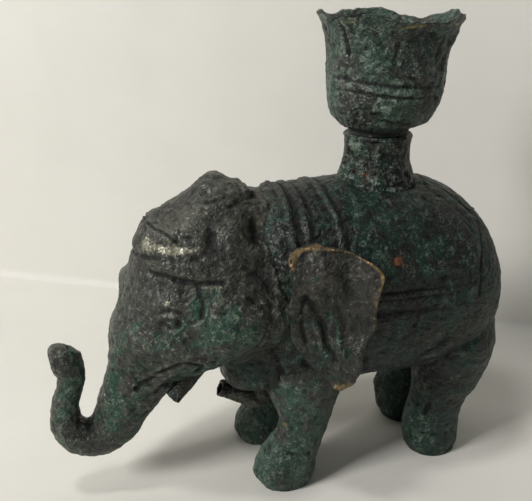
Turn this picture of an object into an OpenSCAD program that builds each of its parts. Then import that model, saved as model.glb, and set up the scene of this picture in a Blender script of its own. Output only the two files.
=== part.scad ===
// Cast elephant standing on four legs, its trunk curled up, with an open cup on a stem on its back.
// The head looks along -X, the left side lies towards -Y, the soles stand on z = 0.

/* [Body] */
// Height of the back above the floor
back_h = 100; // [97:0.5:103]
// Height of the belly above the floor
belly_h = 33.5; // [31:0.5:36]
// Width of the body across the flanks
body_w = 60; // [56:0.5:64]
// Distance from the origin to the end of the rump
rump_x = 73; // [71:0.5:76]
// Thickness of the cast wall
wall = 3; // [2.4:0.1:3.6]
// Height of the ridges round the neck
ridge = 1.1; // [0.4:0.1:1.6]

/* [Legs] */
// Distance of the front feet from the middle plane
front_leg_y = 13; // [12:0.5:14.5]
// Distance of the hind feet from the middle plane
hind_leg_y = 10.8; // [10.6:0.2:12]
// Radius of a foot
foot_r = 9.5; // [9:0.25:10]
// Position of the front feet along the body
front_foot_x = -3; // [-5:0.5:-1]
// Position of the hind feet along the body
hind_foot_x = 53.5; // [51.5:0.5:55]

/* [Head] */
// Height of the crown above the floor
crown_h = 105.7; // [105:0.1:108]
// Width across the cheeks
cheek_w = 55; // [50:0.5:60]
// Radius of the trunk where it is lowest
trunk_r = 6.3; // [5.5:0.1:6.8]
// Radius of the tip of the trunk
tip_r = 5.2; // [4.4:0.1:5.6]
// Radius of a tusk
tusk_r = 2.5; // [2:0.1:3]

/* [Ears] */
// Thickness of an ear
ear_t = 2.8; // [2.2:0.1:3.4]
// Distance that the back edge of an ear stands away from the flank
ear_flare = 8; // [5:0.5:10]

/* [Stem and cup] */
// Position of the stem along the body
stem_x = 31; // [29:0.5:33]
// Radius of the stem at its narrowest
stem_r = 10.4; // [10:0.1:11.2]
// Height of the top of the stem above the floor
stem_h = 114.5; // [113:0.5:116]
// Radius of the socket in the stem
socket_r = 7.5; // [6.5:0.1:8]
// Depth of the socket in the stem
socket_d = 13; // [11:0.5:14]
// Radial clearance of the tenon in the socket
fit = 0.08; // [0.04:0.01:0.1]
// Radius of the cup at its waist
cup_r = 18.2; // [17:0.2:20]
// Radius of the rim of the cup
rim_r = 22; // [20.5:0.25:24]
// Height of the rim above the floor
rim_h = 149.5; // [147:0.5:152]
// Thickness of the wall of the cup
cup_wall = 1.9; // [1.5:0.1:2.4]
// Distance that the rim leans back from the stem
lean = 2.4; // [0:0.2:3]
// Rise and fall of the torn rim
rim_wave = 1.2; // [0.4:0.1:1.6]

/* [Hidden] */

sides = 36;
leg_sides = 20;
ear_sides = 24;
hollow_sides = 24;
gap = 0.3;
seat_z = back_h - 4;
stem_base_r = stem_r + 2.2;
foot_gap = 0.25;
cup_seg = 48;
plate_x = 30.5;
plate_l = 27;
plate_w = 20;
plate_t = 1.8;
plate_z = belly_h + 2;
rivet_r = 1.1;
chaplet_w = 2;
chaplet_x = 26.5;
bronze = [0.20, 0.23, 0.20];
verdigris = [0.16, 0.27, 0.22];
worn_brass = [0.42, 0.33, 0.16];

// ---- smooth curves through stations, and skins over rings ----

// Catmull-Rom value between p1 and p2
function spline4(p0, p1, p2, p3, u) =
    0.5 * (2 * p1 + (p2 - p0) * u + (2 * p0 - 5 * p1 + 4 * p2 - p3) * u * u
    + (3 * p1 - p0 - 3 * p2 + p3) * u * u * u);

// The row at step i and part u of the way to the next
function between(rows, i, u) =
    spline4(rows[max(i - 1, 0)], rows[i], rows[i + 1], rows[min(i + 2, len(rows) - 1)], u);

// The row at position t, from 0 to 1, along a list of rows
function along(rows, t) =
    let (s = t * (len(rows) - 1), i = min(floor(s), len(rows) - 2))
    between(rows, i, s - i);

// The row at v, where each row starts with its own growing value
function row_at(rows, v) =
    let (i = max([for (k = [0:len(rows) - 2]) if (rows[k][0] <= v || k == 0) k]))
    between(rows, i, (v - rows[i][0]) / (rows[i + 1][0] - rows[i][0]));

// A power of a sine or cosine that keeps its sign
function bend(v, n) = sign(v) * pow(abs(v), n);

function middle(ring) = [for (p = ring) 1 / len(ring)] * ring;
function unit(v) = v / norm(v);

// Closed solid over rings of equal length, with a fan at each end
module skin(rings) {
    n = len(rings);
    m = len(rings[0]);
    last = (n - 1) * m;
    points = concat([for (r = rings, p = r) p], [middle(rings[0]), middle(rings[n - 1])]);
    walls = [
        for (i = [0:n - 2], j = [0:m - 1])
        let (a = i * m + j, b = i * m + (j + 1) % m)
        each [[a, b + m, b], [a, a + m, b + m]]
    ];
    ends = [
        for (j = [0:m - 1])
        let (k = (j + 1) % m)
        each [[n * m, j, k], [n * m + 1, last + k, last + j]]
    ];
    polyhedron(points, concat(walls, ends), convexity = 6);
}

// Round tube through rows of [x, y, z, radius]
module tube(rows, steps, around) {
    skin([
        for (i = [0:steps])
        let (
            t = i / steps,
            here = along(rows, t),
            ahead = along(rows, min(t + 0.01, 1)),
            behind = along(rows, max(t - 0.01, 0)),
            run = unit([for (k = [0:2]) ahead[k] - behind[k]]),
            side = unit([0, 1, 0] - run[1] * run),
            over = cross(run, side)
        )
        [
            for (j = [0:around - 1])
            let (a = 360 * j / around)
            [here[0], here[1], here[2]] + here[3] * (cos(a) * side + sin(a) * over)
        ]
    ]);
}

// One solid cut by others as a whole
module carved() {
    resize([0, 0, 0]) difference() {
        children(0);
        children([1:$children - 1]);
    }
}

// ---- torso ----

half_w = body_w / 2;
tail_end = rump_x / 74;

// x, top, bottom, half width
torso_rows = [
    [-19, 66, 44, 7],
    [-17.5, 80, 37, 14],
    [-14, 89.5, belly_h + 0.5, 18.5],
    [-10, back_h - 4, belly_h - 1, 21.5],
    [-5, back_h - 1, belly_h - 1, half_w - 5],
    [4.5, back_h - 0.3, belly_h - 0.5, half_w - 2.3],
    [17, back_h + 0.2, belly_h, half_w - 0.5],
    [32, back_h + 0.5, belly_h - 0.2, half_w],
    [46, back_h - 1, belly_h + 0.3, half_w - 0.3],
    [56.5, back_h - 4.5, belly_h + 2, half_w - 1.7],
    [64.5, back_h - 11, belly_h + 5, half_w - 5],
    [69.5, back_h - 19, belly_h + 9.5, half_w - 10.5],
    [72.6, back_h - 27.5, belly_h + 15.5, half_w - 17],
    [74, back_h - 38, belly_h + 23, 3]
];
ridge_x = [-2, 2, 10];

// Height of the neck ridges at x, zero under the belly
function ridges(x, up) =
    ridge * max(0, min(1, up * 2 + 1)) * sum([for (r = ridge_x) exp(-pow((x - r) / 0.9, 2))]);
function sum(v) = [for (k = v) 1] * v;

// Ring of the body at x, drawn in by inset, and by more under the back
function torso_ring(x, around, inset, under_back) =
    let (
        row = row_at(torso_rows, x),
        top = row[1] - inset - under_back,
        bottom = row[2] + inset,
        w = row[3] - inset
    )
    [
        for (j = [0:around - 1])
        let (a = 360 * j / around, r = inset > 0 ? 0 : ridges(x, sin(a)))
        [
            x * tail_end,
            (w + r) * bend(cos(a), 0.88),
            (top + bottom) / 2 + ((top - bottom) / 2 + r) * bend(sin(a), 0.88)
        ]
    ];

torso_x = concat(
    [-19, -18.4, -17.5, -16, -14, -11, -8],
    [for (x = [-6:1:12]) x],
    [for (x = [14:4:62]) x],
    [64.5, 67, 69.5, 71.2, 72.6, 73.5, 74]
);

module body_form() skin([for (x = torso_x) torso_ring(x, sides, 0, 0)]);

module hollow_form(inset) skin([for (x = [-8:6:64]) torso_ring(x, hollow_sides, inset, 3)]);

module stem_seat() translate([stem_x, 0, seat_z]) cylinder(r = stem_base_r + 0.1, h = 20, $fn = 48);

module plate_form(l, w, h) {
    translate([plate_x - l / 2, -w / 2, plate_z - h]) cube([l, w, h]);
}

module core_hole() translate([plate_x - 8, -6, plate_z - 5]) cube([16, 12, 12]);

module rivet_shanks(h) {
    for (x = [-1, 1], y = [-1, 1])
        translate([plate_x + x * 11, y * 7.5, plate_z - plate_t])
            cylinder(r = rivet_r, h = h, $fn = 12);
}

// Square iron pins through both flanks and the belly
module chaplet_pins() {
    for (side = [-1, 1])
        translate([chaplet_x - chaplet_w / 2, side > 0 ? half_w - 9 : -half_w - 3, back_h - 19])
            cube([chaplet_w, 12, chaplet_w]);
    for (x = [6, 46])
        translate([x - chaplet_w / 2, -chaplet_w / 2, belly_h - 3]) cube([chaplet_w, chaplet_w, 12]);
}

module torso() color(verdigris) carved() {
    body_form();
    hollow_form(wall);
    stem_seat();
    plate_form(plate_l + 0.2, plate_w + 0.2, 20);
    core_hole();
    rivet_shanks(8);
    chaplet_pins();
}

// ---- head, trunk, ears and tusks ----

cheek = cheek_w / 2;

// z, front, back, half width
head_rows = [
    [36, -58.5, -46, 5.5],
    [41, -58, -34, 9.5],
    [46, -57.6, -22, 14.5],
    [52, -57, -9, 20],
    [59, -56.3, 0, cheek - 2],
    [67, -52.6, 3, cheek],
    [74, -50, 1.5, cheek - 3],
    [82, -48, -1, 21],
    [88.5, -46.5, -4, 17],
    [93, -43.5, -6, 13.5],
    [96.5, -37, -8, 11.5],
    [100.5, -31, -12, 9],
    [103.8, -27.5, -16, 5.5],
    [crown_h, -24, -20, 2.5]
];

// x, y, z, radius
trunk_rows = [
    [-38.7, 0, 50.2, 13],
    [-47, 0, 42, 11],
    [-52.7, 0, 33.2, 9.2],
    [-56.8, 0, 24.9, 7.8],
    [-62.5, 0, 20.3, trunk_r + 0.3],
    [-68.4, 0, 21.3, trunk_r - 0.4],
    [-72.1, 0, 26.9, trunk_r - 1.1],
    [-71.7, 0, 34.1, trunk_r - 1.8],
    [-69.6, 0, 40.9, trunk_r - 2],
    [-69.2, 0, 46.4, tip_r - 0.6],
    [-71.8, 0, 50, tip_r],
    [-74.6, 0, 50, tip_r - 1]
];

function head_ring(z) =
    let (row = row_at(head_rows, z), c = (row[1] + row[2]) / 2, a = (row[2] - row[1]) / 2)
    [
        for (j = [0:sides - 1])
        let (t = 360 * j / sides)
        [c + a * bend(cos(t), 0.92), row[3] * sin(t) * (1 + 0.22 * cos(t)), z]
    ];

module head_form() {
    skin([for (z = concat([for (k = [36:2.5:101]) k], [102.4, 103.8, 104.8, crown_h])) head_ring(z)]);
    tube(trunk_rows, 38, 20);
}

module head_hollow() {
    translate([-20, 0, 74]) scale([20, 15, 17]) sphere(r = 1, $fn = 32);
}

module head() color(bronze) carved() {
    union() head_form();
    body_form();
    head_hollow();
    tusk_form(-1);
    tusk_form(1);
}

// z, front, back, distance out at the front, distance out at the back
ear_rows = [
    [44.8, 6, 8, 28, 30],
    [48.5, 3, 10.8, 27, 32.5],
    [54, -1.5, 11.8, 25.5, 34.5],
    [60, -5, 13.2, 25.2, 35.5],
    [66, -6, 17.2, 24.8, 36],
    [74, -7.5, 18, 24.5, 36.5],
    [82, -10, 20.8, 23, 37],
    [86.5, -10.5, 18.5, 21, 35],
    [90, -7.5, 12.5, 19.5, 31],
    [91.8, -3, 6, 20.5, 27]
];

// Leaf-shaped section of an ear, standing further out towards its back edge
function ear_ring(t, side) =
    let (row = along(ear_rows, t), out = row[4] - row[3] + ear_flare - 8)
    [
        for (j = [0:ear_sides - 1])
        let (a = 360 * j / ear_sides, u = 0.5 + 0.5 * cos(a), thick = ear_t / 2 * bend(sin(a), 0.7))
        [row[1] + (row[2] - row[1]) * u, side * (row[3] + out * pow(u, 1.3)) + thick, row[0]]
    ];

module ear(side) color(worn_brass) carved() {
    skin([for (i = [0:20]) ear_ring(i / 20, side)]);
    body_form();
    union() head_form();
}

module left_ear() ear(-1);
module right_ear() ear(1);

// Tusk stub, its root let into the jaw
module tusk_form(side) {
    tube([
        [-29.5, side * 10, 48.6, tusk_r + 0.1],
        [-33, side * 11, 44.8, tusk_r + 0.1],
        [-36.4, side * 11.6, 41.2, tusk_r],
        [-39.7, side * 12, 37.8, tusk_r - 0.1]
    ], 9, 12);
}

module left_tusk() color(bronze) tusk_form(-1);
module right_tusk() color(bronze) tusk_form(1);

// ---- legs ----

// x from the foot, distance out from the foot, z, half length, half width
front_rows = [
    [0, 0, 0, foot_r - 1, foot_r - 1.5],
    [0, 0, 3.5, foot_r + 0.8, foot_r - 0.7],
    [0.8, 0, 9, foot_r + 0.6, foot_r - 0.9],
    [3.4, 0, 15, foot_r - 0.4, foot_r - 1.3],
    [5.8, 0, 22, foot_r - 0.4, foot_r - 1.1],
    [6, 0.5, 30, foot_r + 1.9, foot_r],
    [5.5, 1, 40, foot_r + 5.5, foot_r + 0.5],
    [6, 1, 50, foot_r + 3.5, foot_r - 0.5]
];
hind_rows = [
    [0.3, 0, 0, foot_r - 0.8, foot_r - 1.4],
    [0, 0, 3.5, foot_r + 0.4, foot_r - 0.5],
    [-0.7, 0, 9, foot_r + 0.8, foot_r - 0.3],
    [-0.3, 0.3, 15, foot_r + 0.3, foot_r - 0.6],
    [1, 0.8, 21.5, foot_r + 0.4, foot_r - 0.5],
    [3.3, 2, 30, foot_r + 2, foot_r + 0.8],
    [5, 3.4, 40, foot_r + 2.3, foot_r + 1.5],
    [4, 3.4, 50, foot_r - 0.5, foot_r - 0.5]
];

module leg(rows, foot_x, foot_y, side) {
    carved() {
        skin([
            for (i = [0:18])
            let (row = along(rows, i / 18))
            [
                for (j = [0:leg_sides - 1])
                let (a = 360 * j / leg_sides)
                [
                    foot_x + row[0] + row[3] * cos(a),
                    side * (foot_y + row[1]) + row[4] * sin(a),
                    row[2]
                ]
            ]
        ]);
        body_form();
    }
}

module left_front_leg() color(bronze) leg(front_rows, front_foot_x, front_leg_y, -1);
module right_front_leg() color(bronze) leg(front_rows, front_foot_x, front_leg_y, 1);
module left_hind_leg() color(bronze) leg(hind_rows, hind_foot_x, hind_leg_y, -1);
module right_hind_leg() color(bronze) leg(hind_rows, hind_foot_x, hind_leg_y, 1);

// ---- small pieces on the body ----

module tail() color(bronze) carved() {
    tube([
        [rump_x - 6, 1, 84, 2.5],
        [rump_x + 0.2, 1, 75, 2.4],
        [rump_x + 2.2, 1, 64, 2.1],
        [rump_x + 2, 1, 53, 2],
        [rump_x + 0.2, 1, 45, 2.5],
        [rump_x - 2.2, 1, 39.5, 1.2]
    ], 22, 12);
    body_form();
}

module chest_lug() color(bronze) carved() {
    tube([
        [-22.6, -2, 32.2, 2.7],
        [-17, -2, 29.2, 2.9],
        [-11.5, -2, 26.4, 3.2],
        [-8.5, -2, 27.3, 3.4],
        [-7, -2, 35, 4]
    ], 16, 14);
    body_form();
}

// ---- stem and cup ----

// radius, height
stem_rows = [
    [stem_base_r, seat_z],
    [stem_base_r - 0.2, seat_z + 3],
    [stem_r + 0.9, seat_z + 7],
    [stem_r, seat_z + 11],
    [stem_r, stem_h - 2.2],
    [stem_r + 0.4, stem_h - 0.7],
    [stem_r - 0.1, stem_h]
];
cup_base = stem_h + foot_gap;
cup_rows = [
    [stem_r - 1.2, cup_base],
    [stem_r - 0.7, cup_base + 1.4],
    [12, cup_base + 2.5],
    [15.4, cup_base + 5.3],
    [cup_r - 0.7, cup_base + 9.3],
    [cup_r, cup_base + 14],
    [cup_r + 0.1, rim_h - 13],
    [cup_r + 0.7, rim_h - 8],
    [cup_r + 2, rim_h - 3.5],
    [rim_r, rim_h]
];

module stem() color(bronze) translate([stem_x, 0, 0]) difference() {
    rotate_extrude($fn = 72) polygon(concat(
        [[0, seat_z]],
        [for (i = [0:20]) along(stem_rows, i / 20)],
        [[0, stem_h]]
    ));
    translate([0, 0, stem_h - socket_d]) cylinder(r = socket_r, h = socket_d + 1, $fn = 72);
}

// Ring of the cup at t from foot to rim, drawn in by inset and lifted by rise
function cup_ring(t, inset, rise) =
    let (row = along(cup_rows, t), late = pow(t, 5))
    [
        for (j = [0:cup_seg - 1])
        let (
            a = 360 * j / cup_seg,
            petal = sin(5 * a + 40) + 0.5 * sin(3 * a + 100),
            r = row[0] - inset + 0.7 * late * petal
        )
        [r * cos(a) + lean * t, r * sin(a), row[1] + rise + rim_wave * late * (petal + 0.4 * sin(11 * a))]
    ];

module cup() color(verdigris) translate([stem_x, 0, 0]) {
    skin(concat(
        [for (i = [0:16]) cup_ring(i / 16, 0, 0)],
        [for (i = [16:-1:6]) cup_ring(i / 16, cup_wall, 0)]
    ));
    translate([0, 0, stem_h - socket_d + 0.5])
        cylinder(r = socket_r - fit, h = socket_d + foot_gap + 0.5, $fn = 72);
}

// ---- inside and under the body ----

module casting_core() color("sienna") carved() {
    hollow_form(wall + gap);
    plate_form(plate_l, plate_w, 20);
    core_hole();
    rivet_shanks(8);
    chaplet_pins();
}

module chaplets() color("saddlebrown") carved() {
    intersection() {
        chaplet_pins();
        body_form();
    }
    plate_form(plate_l + 1, plate_w + 1, 20);
}

module belly_plate() color(bronze) difference() {
    plate_form(plate_l, plate_w, plate_t);
    translate([0, 0, -1]) rivet_shanks(plate_t + 2);
}

module belly_rivets() color(worn_brass) {
    for (x = [-1, 1], y = [-1, 1])
        translate([plate_x + x * 11, y * 7.5, plate_z - plate_t - 0.7])
            cylinder(r1 = 1.4, r2 = 2, h = 0.7, $fn = 32);
    rivet_shanks(plate_t + 2.2);
}

torso();
head();
left_ear();
right_ear();
left_tusk();
right_tusk();
left_front_leg();
right_front_leg();
left_hind_leg();
right_hind_leg();
tail();
chest_lug();
stem();
cup();
casting_core();
chaplets();
belly_plate();
belly_rivets();
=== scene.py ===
"""Looks of a cast bronze elephant that carries an open cup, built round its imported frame.

Shapes are worked out in millimetres, with the head towards -X, the left side towards -Y and
the soles on z = 0, and are turned into metres when they become Blender meshes.
"""

import logging
import math
from dataclasses import dataclass, replace
from enum import Enum
from typing import Sequence

import bpy
import numpy as np
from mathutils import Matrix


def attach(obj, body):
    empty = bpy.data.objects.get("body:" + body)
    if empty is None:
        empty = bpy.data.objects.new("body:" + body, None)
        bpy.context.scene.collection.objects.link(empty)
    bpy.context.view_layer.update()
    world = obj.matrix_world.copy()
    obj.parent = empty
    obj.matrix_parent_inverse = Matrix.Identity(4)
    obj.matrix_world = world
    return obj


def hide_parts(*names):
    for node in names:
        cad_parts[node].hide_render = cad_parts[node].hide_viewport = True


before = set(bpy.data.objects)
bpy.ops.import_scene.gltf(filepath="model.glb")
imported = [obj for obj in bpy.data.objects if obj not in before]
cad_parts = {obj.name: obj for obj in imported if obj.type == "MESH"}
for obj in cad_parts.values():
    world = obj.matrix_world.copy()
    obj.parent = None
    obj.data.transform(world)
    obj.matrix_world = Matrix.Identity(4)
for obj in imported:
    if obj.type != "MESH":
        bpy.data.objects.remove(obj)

LOG = logging.getLogger("elephant")
MM = 0.001
Array = np.ndarray
Rows = tuple[tuple[float, ...], ...]
Socket = bpy.types.NodeSocket
Colour = tuple[float, float, float, float]


class Side(Enum):
    """Which flank of the elephant a piece belongs to, as the sign of its y."""

    LEFT = -1
    RIGHT = 1


# ---------------------------------------------------------------------------------------
# Curves, noise and skins
# ---------------------------------------------------------------------------------------


def spline(rows: Sequence[Sequence[float]], at: Array) -> Array:
    """Values along a Catmull-Rom curve through rows.

    Between rows i and i + 1 the curve is the cubic that passes through both and whose slope at
    each is half the difference of its two neighbours.

    Args:
        rows: Stations, each a row of numbers.
        at: Positions from 0, the first row, to 1, the last.

    Returns:
        One row of numbers for each position.
    """
    table = np.asarray(rows, float)
    last = len(table) - 1
    step = np.clip(np.asarray(at, float), 0, 1) * last
    i = np.minimum(step.astype(int), last - 1)
    u = (step - i)[:, None]
    before = table[np.maximum(i - 1, 0)]
    here, ahead = table[i], table[i + 1]
    after = table[np.minimum(i + 2, last)]
    return 0.5 * (
        2 * here
        + (ahead - before) * u
        + (2 * before - 5 * here + 4 * ahead - after) * u**2
        + (3 * here - before - 3 * ahead + after) * u**3
    )


def spline_by_first(rows: Sequence[Sequence[float]], value: Array) -> Array:
    """Values along a Catmull-Rom curve at given values of its first column.

    Args:
        rows: Stations whose first column grows.
        value: Wanted values of the first column.

    Returns:
        One row of numbers for each value.
    """
    table = np.asarray(rows, float)
    last = len(table) - 1
    i = np.clip(np.searchsorted(table[:, 0], value, side="right") - 1, 0, last - 1)
    u = (value - table[i, 0]) / (table[i + 1, 0] - table[i, 0])
    return spline(rows, (i + np.clip(u, 0, 1)) / last)


def signed_power(value: Array, power: float) -> Array:
    """A power of a sine or cosine that keeps its sign."""
    return np.sign(value) * np.abs(value) ** power


def angles(around: int) -> Array:
    """Angles spaced evenly round a circle, from 0."""
    return np.linspace(0, 2 * np.pi, around, endpoint=False)


def wrapped(angle: Array) -> Array:
    """Angles brought between minus and plus half a turn."""
    return np.angle(np.exp(1j * angle))


def ramp(value: Array, start: float, span: float) -> Array:
    """Straight ramp: 0 at the start and before it, 1 from one span further on."""
    return np.clip((value - start) / span, 0, 1)


def bell(distance: Array, width: float) -> Array:
    """Bell curve, exp of minus the square of the distance over the width."""
    return np.exp(-((distance / width) ** 2))


def halves(top: Array, bottom: Array) -> tuple[Array, Array]:
    """Middle of two values, and half of what lies between them."""
    return (top + bottom) / 2, (top - bottom) / 2


def stacked(x: Array, y: Array, z: Array) -> Array:
    """Points from three coordinates, each repeated to the shape of the largest."""
    return np.stack(np.broadcast_arrays(x, y, z), axis=-1)


def lathe(x: float, profile: Array, around: int) -> Array:
    """Rings turned round the upright axis at x from rows of radius and height."""
    radius, turn = profile[:, :1], angles(around)
    return stacked(x + radius * np.cos(turn), radius * np.sin(turn), profile[:, 1:])


def new_object(name: str, data: bpy.types.ID) -> bpy.types.Object:
    """A new object with its data, linked to the scene."""
    thing = bpy.data.objects.new(name, data)
    bpy.context.scene.collection.objects.link(thing)
    return thing


def smooth_mesh(name: str, points: Array, faces: Array, material: bpy.types.Material) -> bpy.types.Mesh:
    """A smooth shaded mesh in metres, from points in millimetres."""
    mesh = bpy.data.meshes.new(name)
    mesh.from_pydata(points * MM, [], faces)
    mesh.polygons.foreach_set("use_smooth", np.ones(len(mesh.polygons), dtype=bool))
    mesh.materials.append(material)
    return mesh


def lattice_noise(points: Array, size: float, seed: int) -> Array:
    """Smooth random field from -1 to 1.

    Each corner of a cubic lattice gets a hashed value, and a point blends the eight values of
    its cell with the weights 3t^2 - 2t^3 along each axis.

    Args:
        points: Places in millimetres.
        size: Width of a lattice cell in millimetres.
        seed: Number that picks the field.

    Returns:
        One value for each point.
    """
    cell = points / size + 1000.0
    base = np.floor(cell).astype(np.int64)
    t = cell - base
    t = t * t * (3 - 2 * t)
    total = np.zeros(len(points))
    for corner in range(8):
        bits = np.array([corner & 1, corner >> 1 & 1, corner >> 2 & 1])
        key = (base + bits) @ np.array([73856093, 19349663, 83492791]) + seed * 2654435761
        key = (key ^ (key >> 13)) * 1274126177 & 0xFFFFFFFF
        key = (key ^ (key >> 16)) * 2246822519 & 0xFFFFFFFF
        weight = np.prod(np.where(bits, t, 1 - t), axis=1)
        total += weight * ((key ^ (key >> 15)) & 0xFFFFFF) / 0xFFFFFF
    return total * 2 - 1


def rough(points: Array, size: float, seed: int, octaves: int = 3) -> Array:
    """Sum of lattice noises, each half as large and half as strong as the one before."""
    return sum(lattice_noise(points, size / 2**k, seed + k) / 2**k for k in range(octaves))


@dataclass
class Skin:
    """A closed surface: points in millimetres, and triangles as rows of three indices."""

    points: Array
    tris: Array

    @classmethod
    def over_rings(cls, rings: Array) -> "Skin":
        """Surface over rings of equal length, each end closed by a fan to its middle point.

        Args:
            rings: Array of shape (rings, points in a ring, 3).

        Returns:
            The closed skin, its faces outwards where the rings advance along their own normal.
        """
        count, around = rings.shape[:2]
        i, j = np.meshgrid(np.arange(count - 1), np.arange(around), indexing="ij")
        a = (i * around + j).ravel()
        b = (i * around + (j + 1) % around).ravel()
        ring = np.arange(around)
        after = (ring + 1) % around
        start, end = count * around, count * around + 1
        last = (count - 1) * around
        tris = np.concatenate(
            [
                np.stack([a, b, b + around], 1),
                np.stack([a, b + around, a + around], 1),
                np.stack([np.full(around, start), after, ring], 1),
                np.stack([np.full(around, end), last + ring, last + after], 1),
            ]
        )
        middles = np.stack([rings[0].mean(0), rings[-1].mean(0)])
        return cls(np.concatenate([rings.reshape(-1, 3), middles]), tris)

    @classmethod
    def tube(cls, rows: Sequence[Sequence[float]], steps: int, around: int) -> "Skin":
        """Round tube: circles of the rows' radius, square to a spline through the rows.

        Args:
            rows: Stations of x, y, z and radius.
            steps: Number of rings.
            around: Number of points in a ring.

        Returns:
            The closed tube.
        """
        at = np.linspace(0, 1, steps)
        path = spline(rows, at)
        centre, radius = path[:, :3], path[:, 3]
        run = np.gradient(centre, axis=0)
        run /= np.linalg.norm(run, axis=1, keepdims=True)
        side = np.array([0.0, 1.0, 0.0]) - run[:, 1:2] * run
        side /= np.linalg.norm(side, axis=1, keepdims=True)
        over = np.cross(run, side)
        angle = angles(around)
        spoke = (
            np.cos(angle)[None, :, None] * side[:, None]
            + np.sin(angle)[None, :, None] * over[:, None]
        )
        return cls.over_rings(centre[:, None] + radius[:, None, None] * spoke)

    def edges(self) -> Array:
        """Pairs of points that share an edge, each pair once."""
        pairs = np.concatenate([self.tris[:, [0, 1]], self.tris[:, [1, 2]], self.tris[:, [2, 0]]])
        pairs = np.sort(pairs.astype(np.int64), axis=1)
        keys = np.unique(pairs[:, 0] * len(self.points) + pairs[:, 1])
        return np.stack(np.divmod(keys, len(self.points)), axis=1)

    def normals(self) -> Array:
        """Unit normals at the points: the sum of the area vectors of the faces round each."""
        a, b, c = (self.points[self.tris[:, k]] for k in range(3))
        area = np.cross(b - a, c - a)
        sums = [
            sum(np.bincount(self.tris[:, k], area[:, axis], len(self.points)) for k in range(3))
            for axis in range(3)
        ]
        total = np.stack(sums, axis=1)
        return total / np.maximum(np.linalg.norm(total, axis=1, keepdims=True), 1e-12)

    def averaged(self, values: Array, rounds: int) -> Array:
        """Values after each has been replaced, rounds times, by its neighbours' mean.

        Args:
            values: One number or row for each point.
            rounds: How often to repeat.

        Returns:
            The averaged values.
        """
        pairs = self.edges()
        out = values.reshape(len(self.points), -1).astype(float)
        degree = np.bincount(pairs.ravel(), minlength=len(self.points))[:, None]
        for _ in range(rounds):
            columns = [
                np.bincount(pairs[:, 0], out[pairs[:, 1], k], len(out))
                + np.bincount(pairs[:, 1], out[pairs[:, 0], k], len(out))
                for k in range(out.shape[1])
            ]
            out = 0.5 * out + 0.5 * np.stack(columns, 1) / degree
        return out.reshape(values.shape)

    def relaxed(self, rounds: int) -> "Skin":
        """The skin with its points averaged, which rounds its edges and creases."""
        return Skin(self.averaged(self.points, rounds), self.tris)

    def pushed(self, height: Array) -> "Skin":
        """The skin with each point moved out along its normal by its height."""
        return Skin(self.points + self.normals() * height[:, None], self.tris)

    def hollows(self) -> Array:
        """How deep each point lies under its surroundings, in units of 0.25 mm, clipped to 1."""
        around = self.averaged(self.points, 24)
        depth = np.einsum("ij,ij->i", around - self.points, self.normals())
        return np.clip(depth / 0.25, -1, 1)


def fused(skins: Sequence[Skin], voxel: float) -> Skin:
    """One skin round several that overlap, by Blender's voxel remesh.

    Args:
        skins: Closed skins that run into each other.
        voxel: Size of the remesh in millimetres.

    Returns:
        The outer skin of them all.
    """
    starts = np.cumsum([0] + [len(s.points) for s in skins[:-1]])
    mesh = bpy.data.meshes.new("fusing")
    mesh.from_pydata(
        np.concatenate([s.points for s in skins]),
        [],
        np.concatenate([s.tris + n for s, n in zip(skins, starts)]),
    )
    work = new_object("fusing", mesh)
    remesh = work.modifiers.new("fusing", "REMESH")
    remesh.mode = "VOXEL"
    remesh.voxel_size = voxel
    done = work.evaluated_get(bpy.context.evaluated_depsgraph_get()).to_mesh()
    points = np.empty(len(done.vertices) * 3)
    done.vertices.foreach_get("co", points)
    done.calc_loop_triangles()
    tris = np.empty(len(done.loop_triangles) * 3, dtype=np.int32)
    done.loop_triangles.foreach_get("vertices", tris)
    bpy.data.objects.remove(work)
    bpy.data.meshes.remove(mesh)
    return Skin(points.reshape(-1, 3), tris.reshape(-1, 3))


# ---------------------------------------------------------------------------------------
# Relief
# ---------------------------------------------------------------------------------------


def wander(points: Array) -> Array:
    """Small shifts that make a drawn line wander by up to 0.7 mm over a few millimetres."""
    return 0.7 * np.stack([lattice_noise(points, 5, 300 + axis) for axis in range(3)], axis=1)


@dataclass(frozen=True)
class Stroke:
    """A ridge (height above 0) or groove (below 0) along a line drawn on the left side.

    Its profile is height times exp(-(d / width)^2), where d is the distance to the line,
    measured along the surface. A stroke on both sides is mirrored in the middle plane.
    """

    line: Sequence[Sequence[float]]
    width: float
    height: float
    both_sides: bool = True

    def strength(self, skin: Skin) -> Array:
        """How much of the stroke's height each point of a skin has, from 0 to 1."""
        place, out = mirrored(skin, self.both_sides)
        place = place + wander(place)
        knots = spline(self.line, np.linspace(0, 1, 6 * len(self.line)))
        reach = 3 * self.width + 2.5
        near = np.all((place > knots.min(0) - reach) & (place < knots.max(0) + reach), axis=1)
        place, out = place[near], out[near]
        best = np.full(len(place), np.inf)
        for a, b in zip(knots[:-1], knots[1:]):
            along = b - a
            t = np.clip((place - a) @ along / max(along @ along, 1e-9), 0, 1)
            away = place - a - t[:, None] * along
            lift = np.einsum("ij,ij->i", away, out)
            flat = away - np.clip(lift, -2.5, 2.5)[:, None] * out
            best = np.minimum(best, np.einsum("ij,ij->i", flat, flat))
        strength = np.zeros(len(skin.points))
        strength[near] = np.exp(-best / self.width**2)
        return strength

    def relief(self, skin: Skin) -> Array:
        """Height of the stroke at each point of a skin, pressed unevenly as by hand."""
        return self.height * self.strength(skin) * (0.75 + 0.75 * lattice_noise(skin.points, 4, 7))


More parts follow.
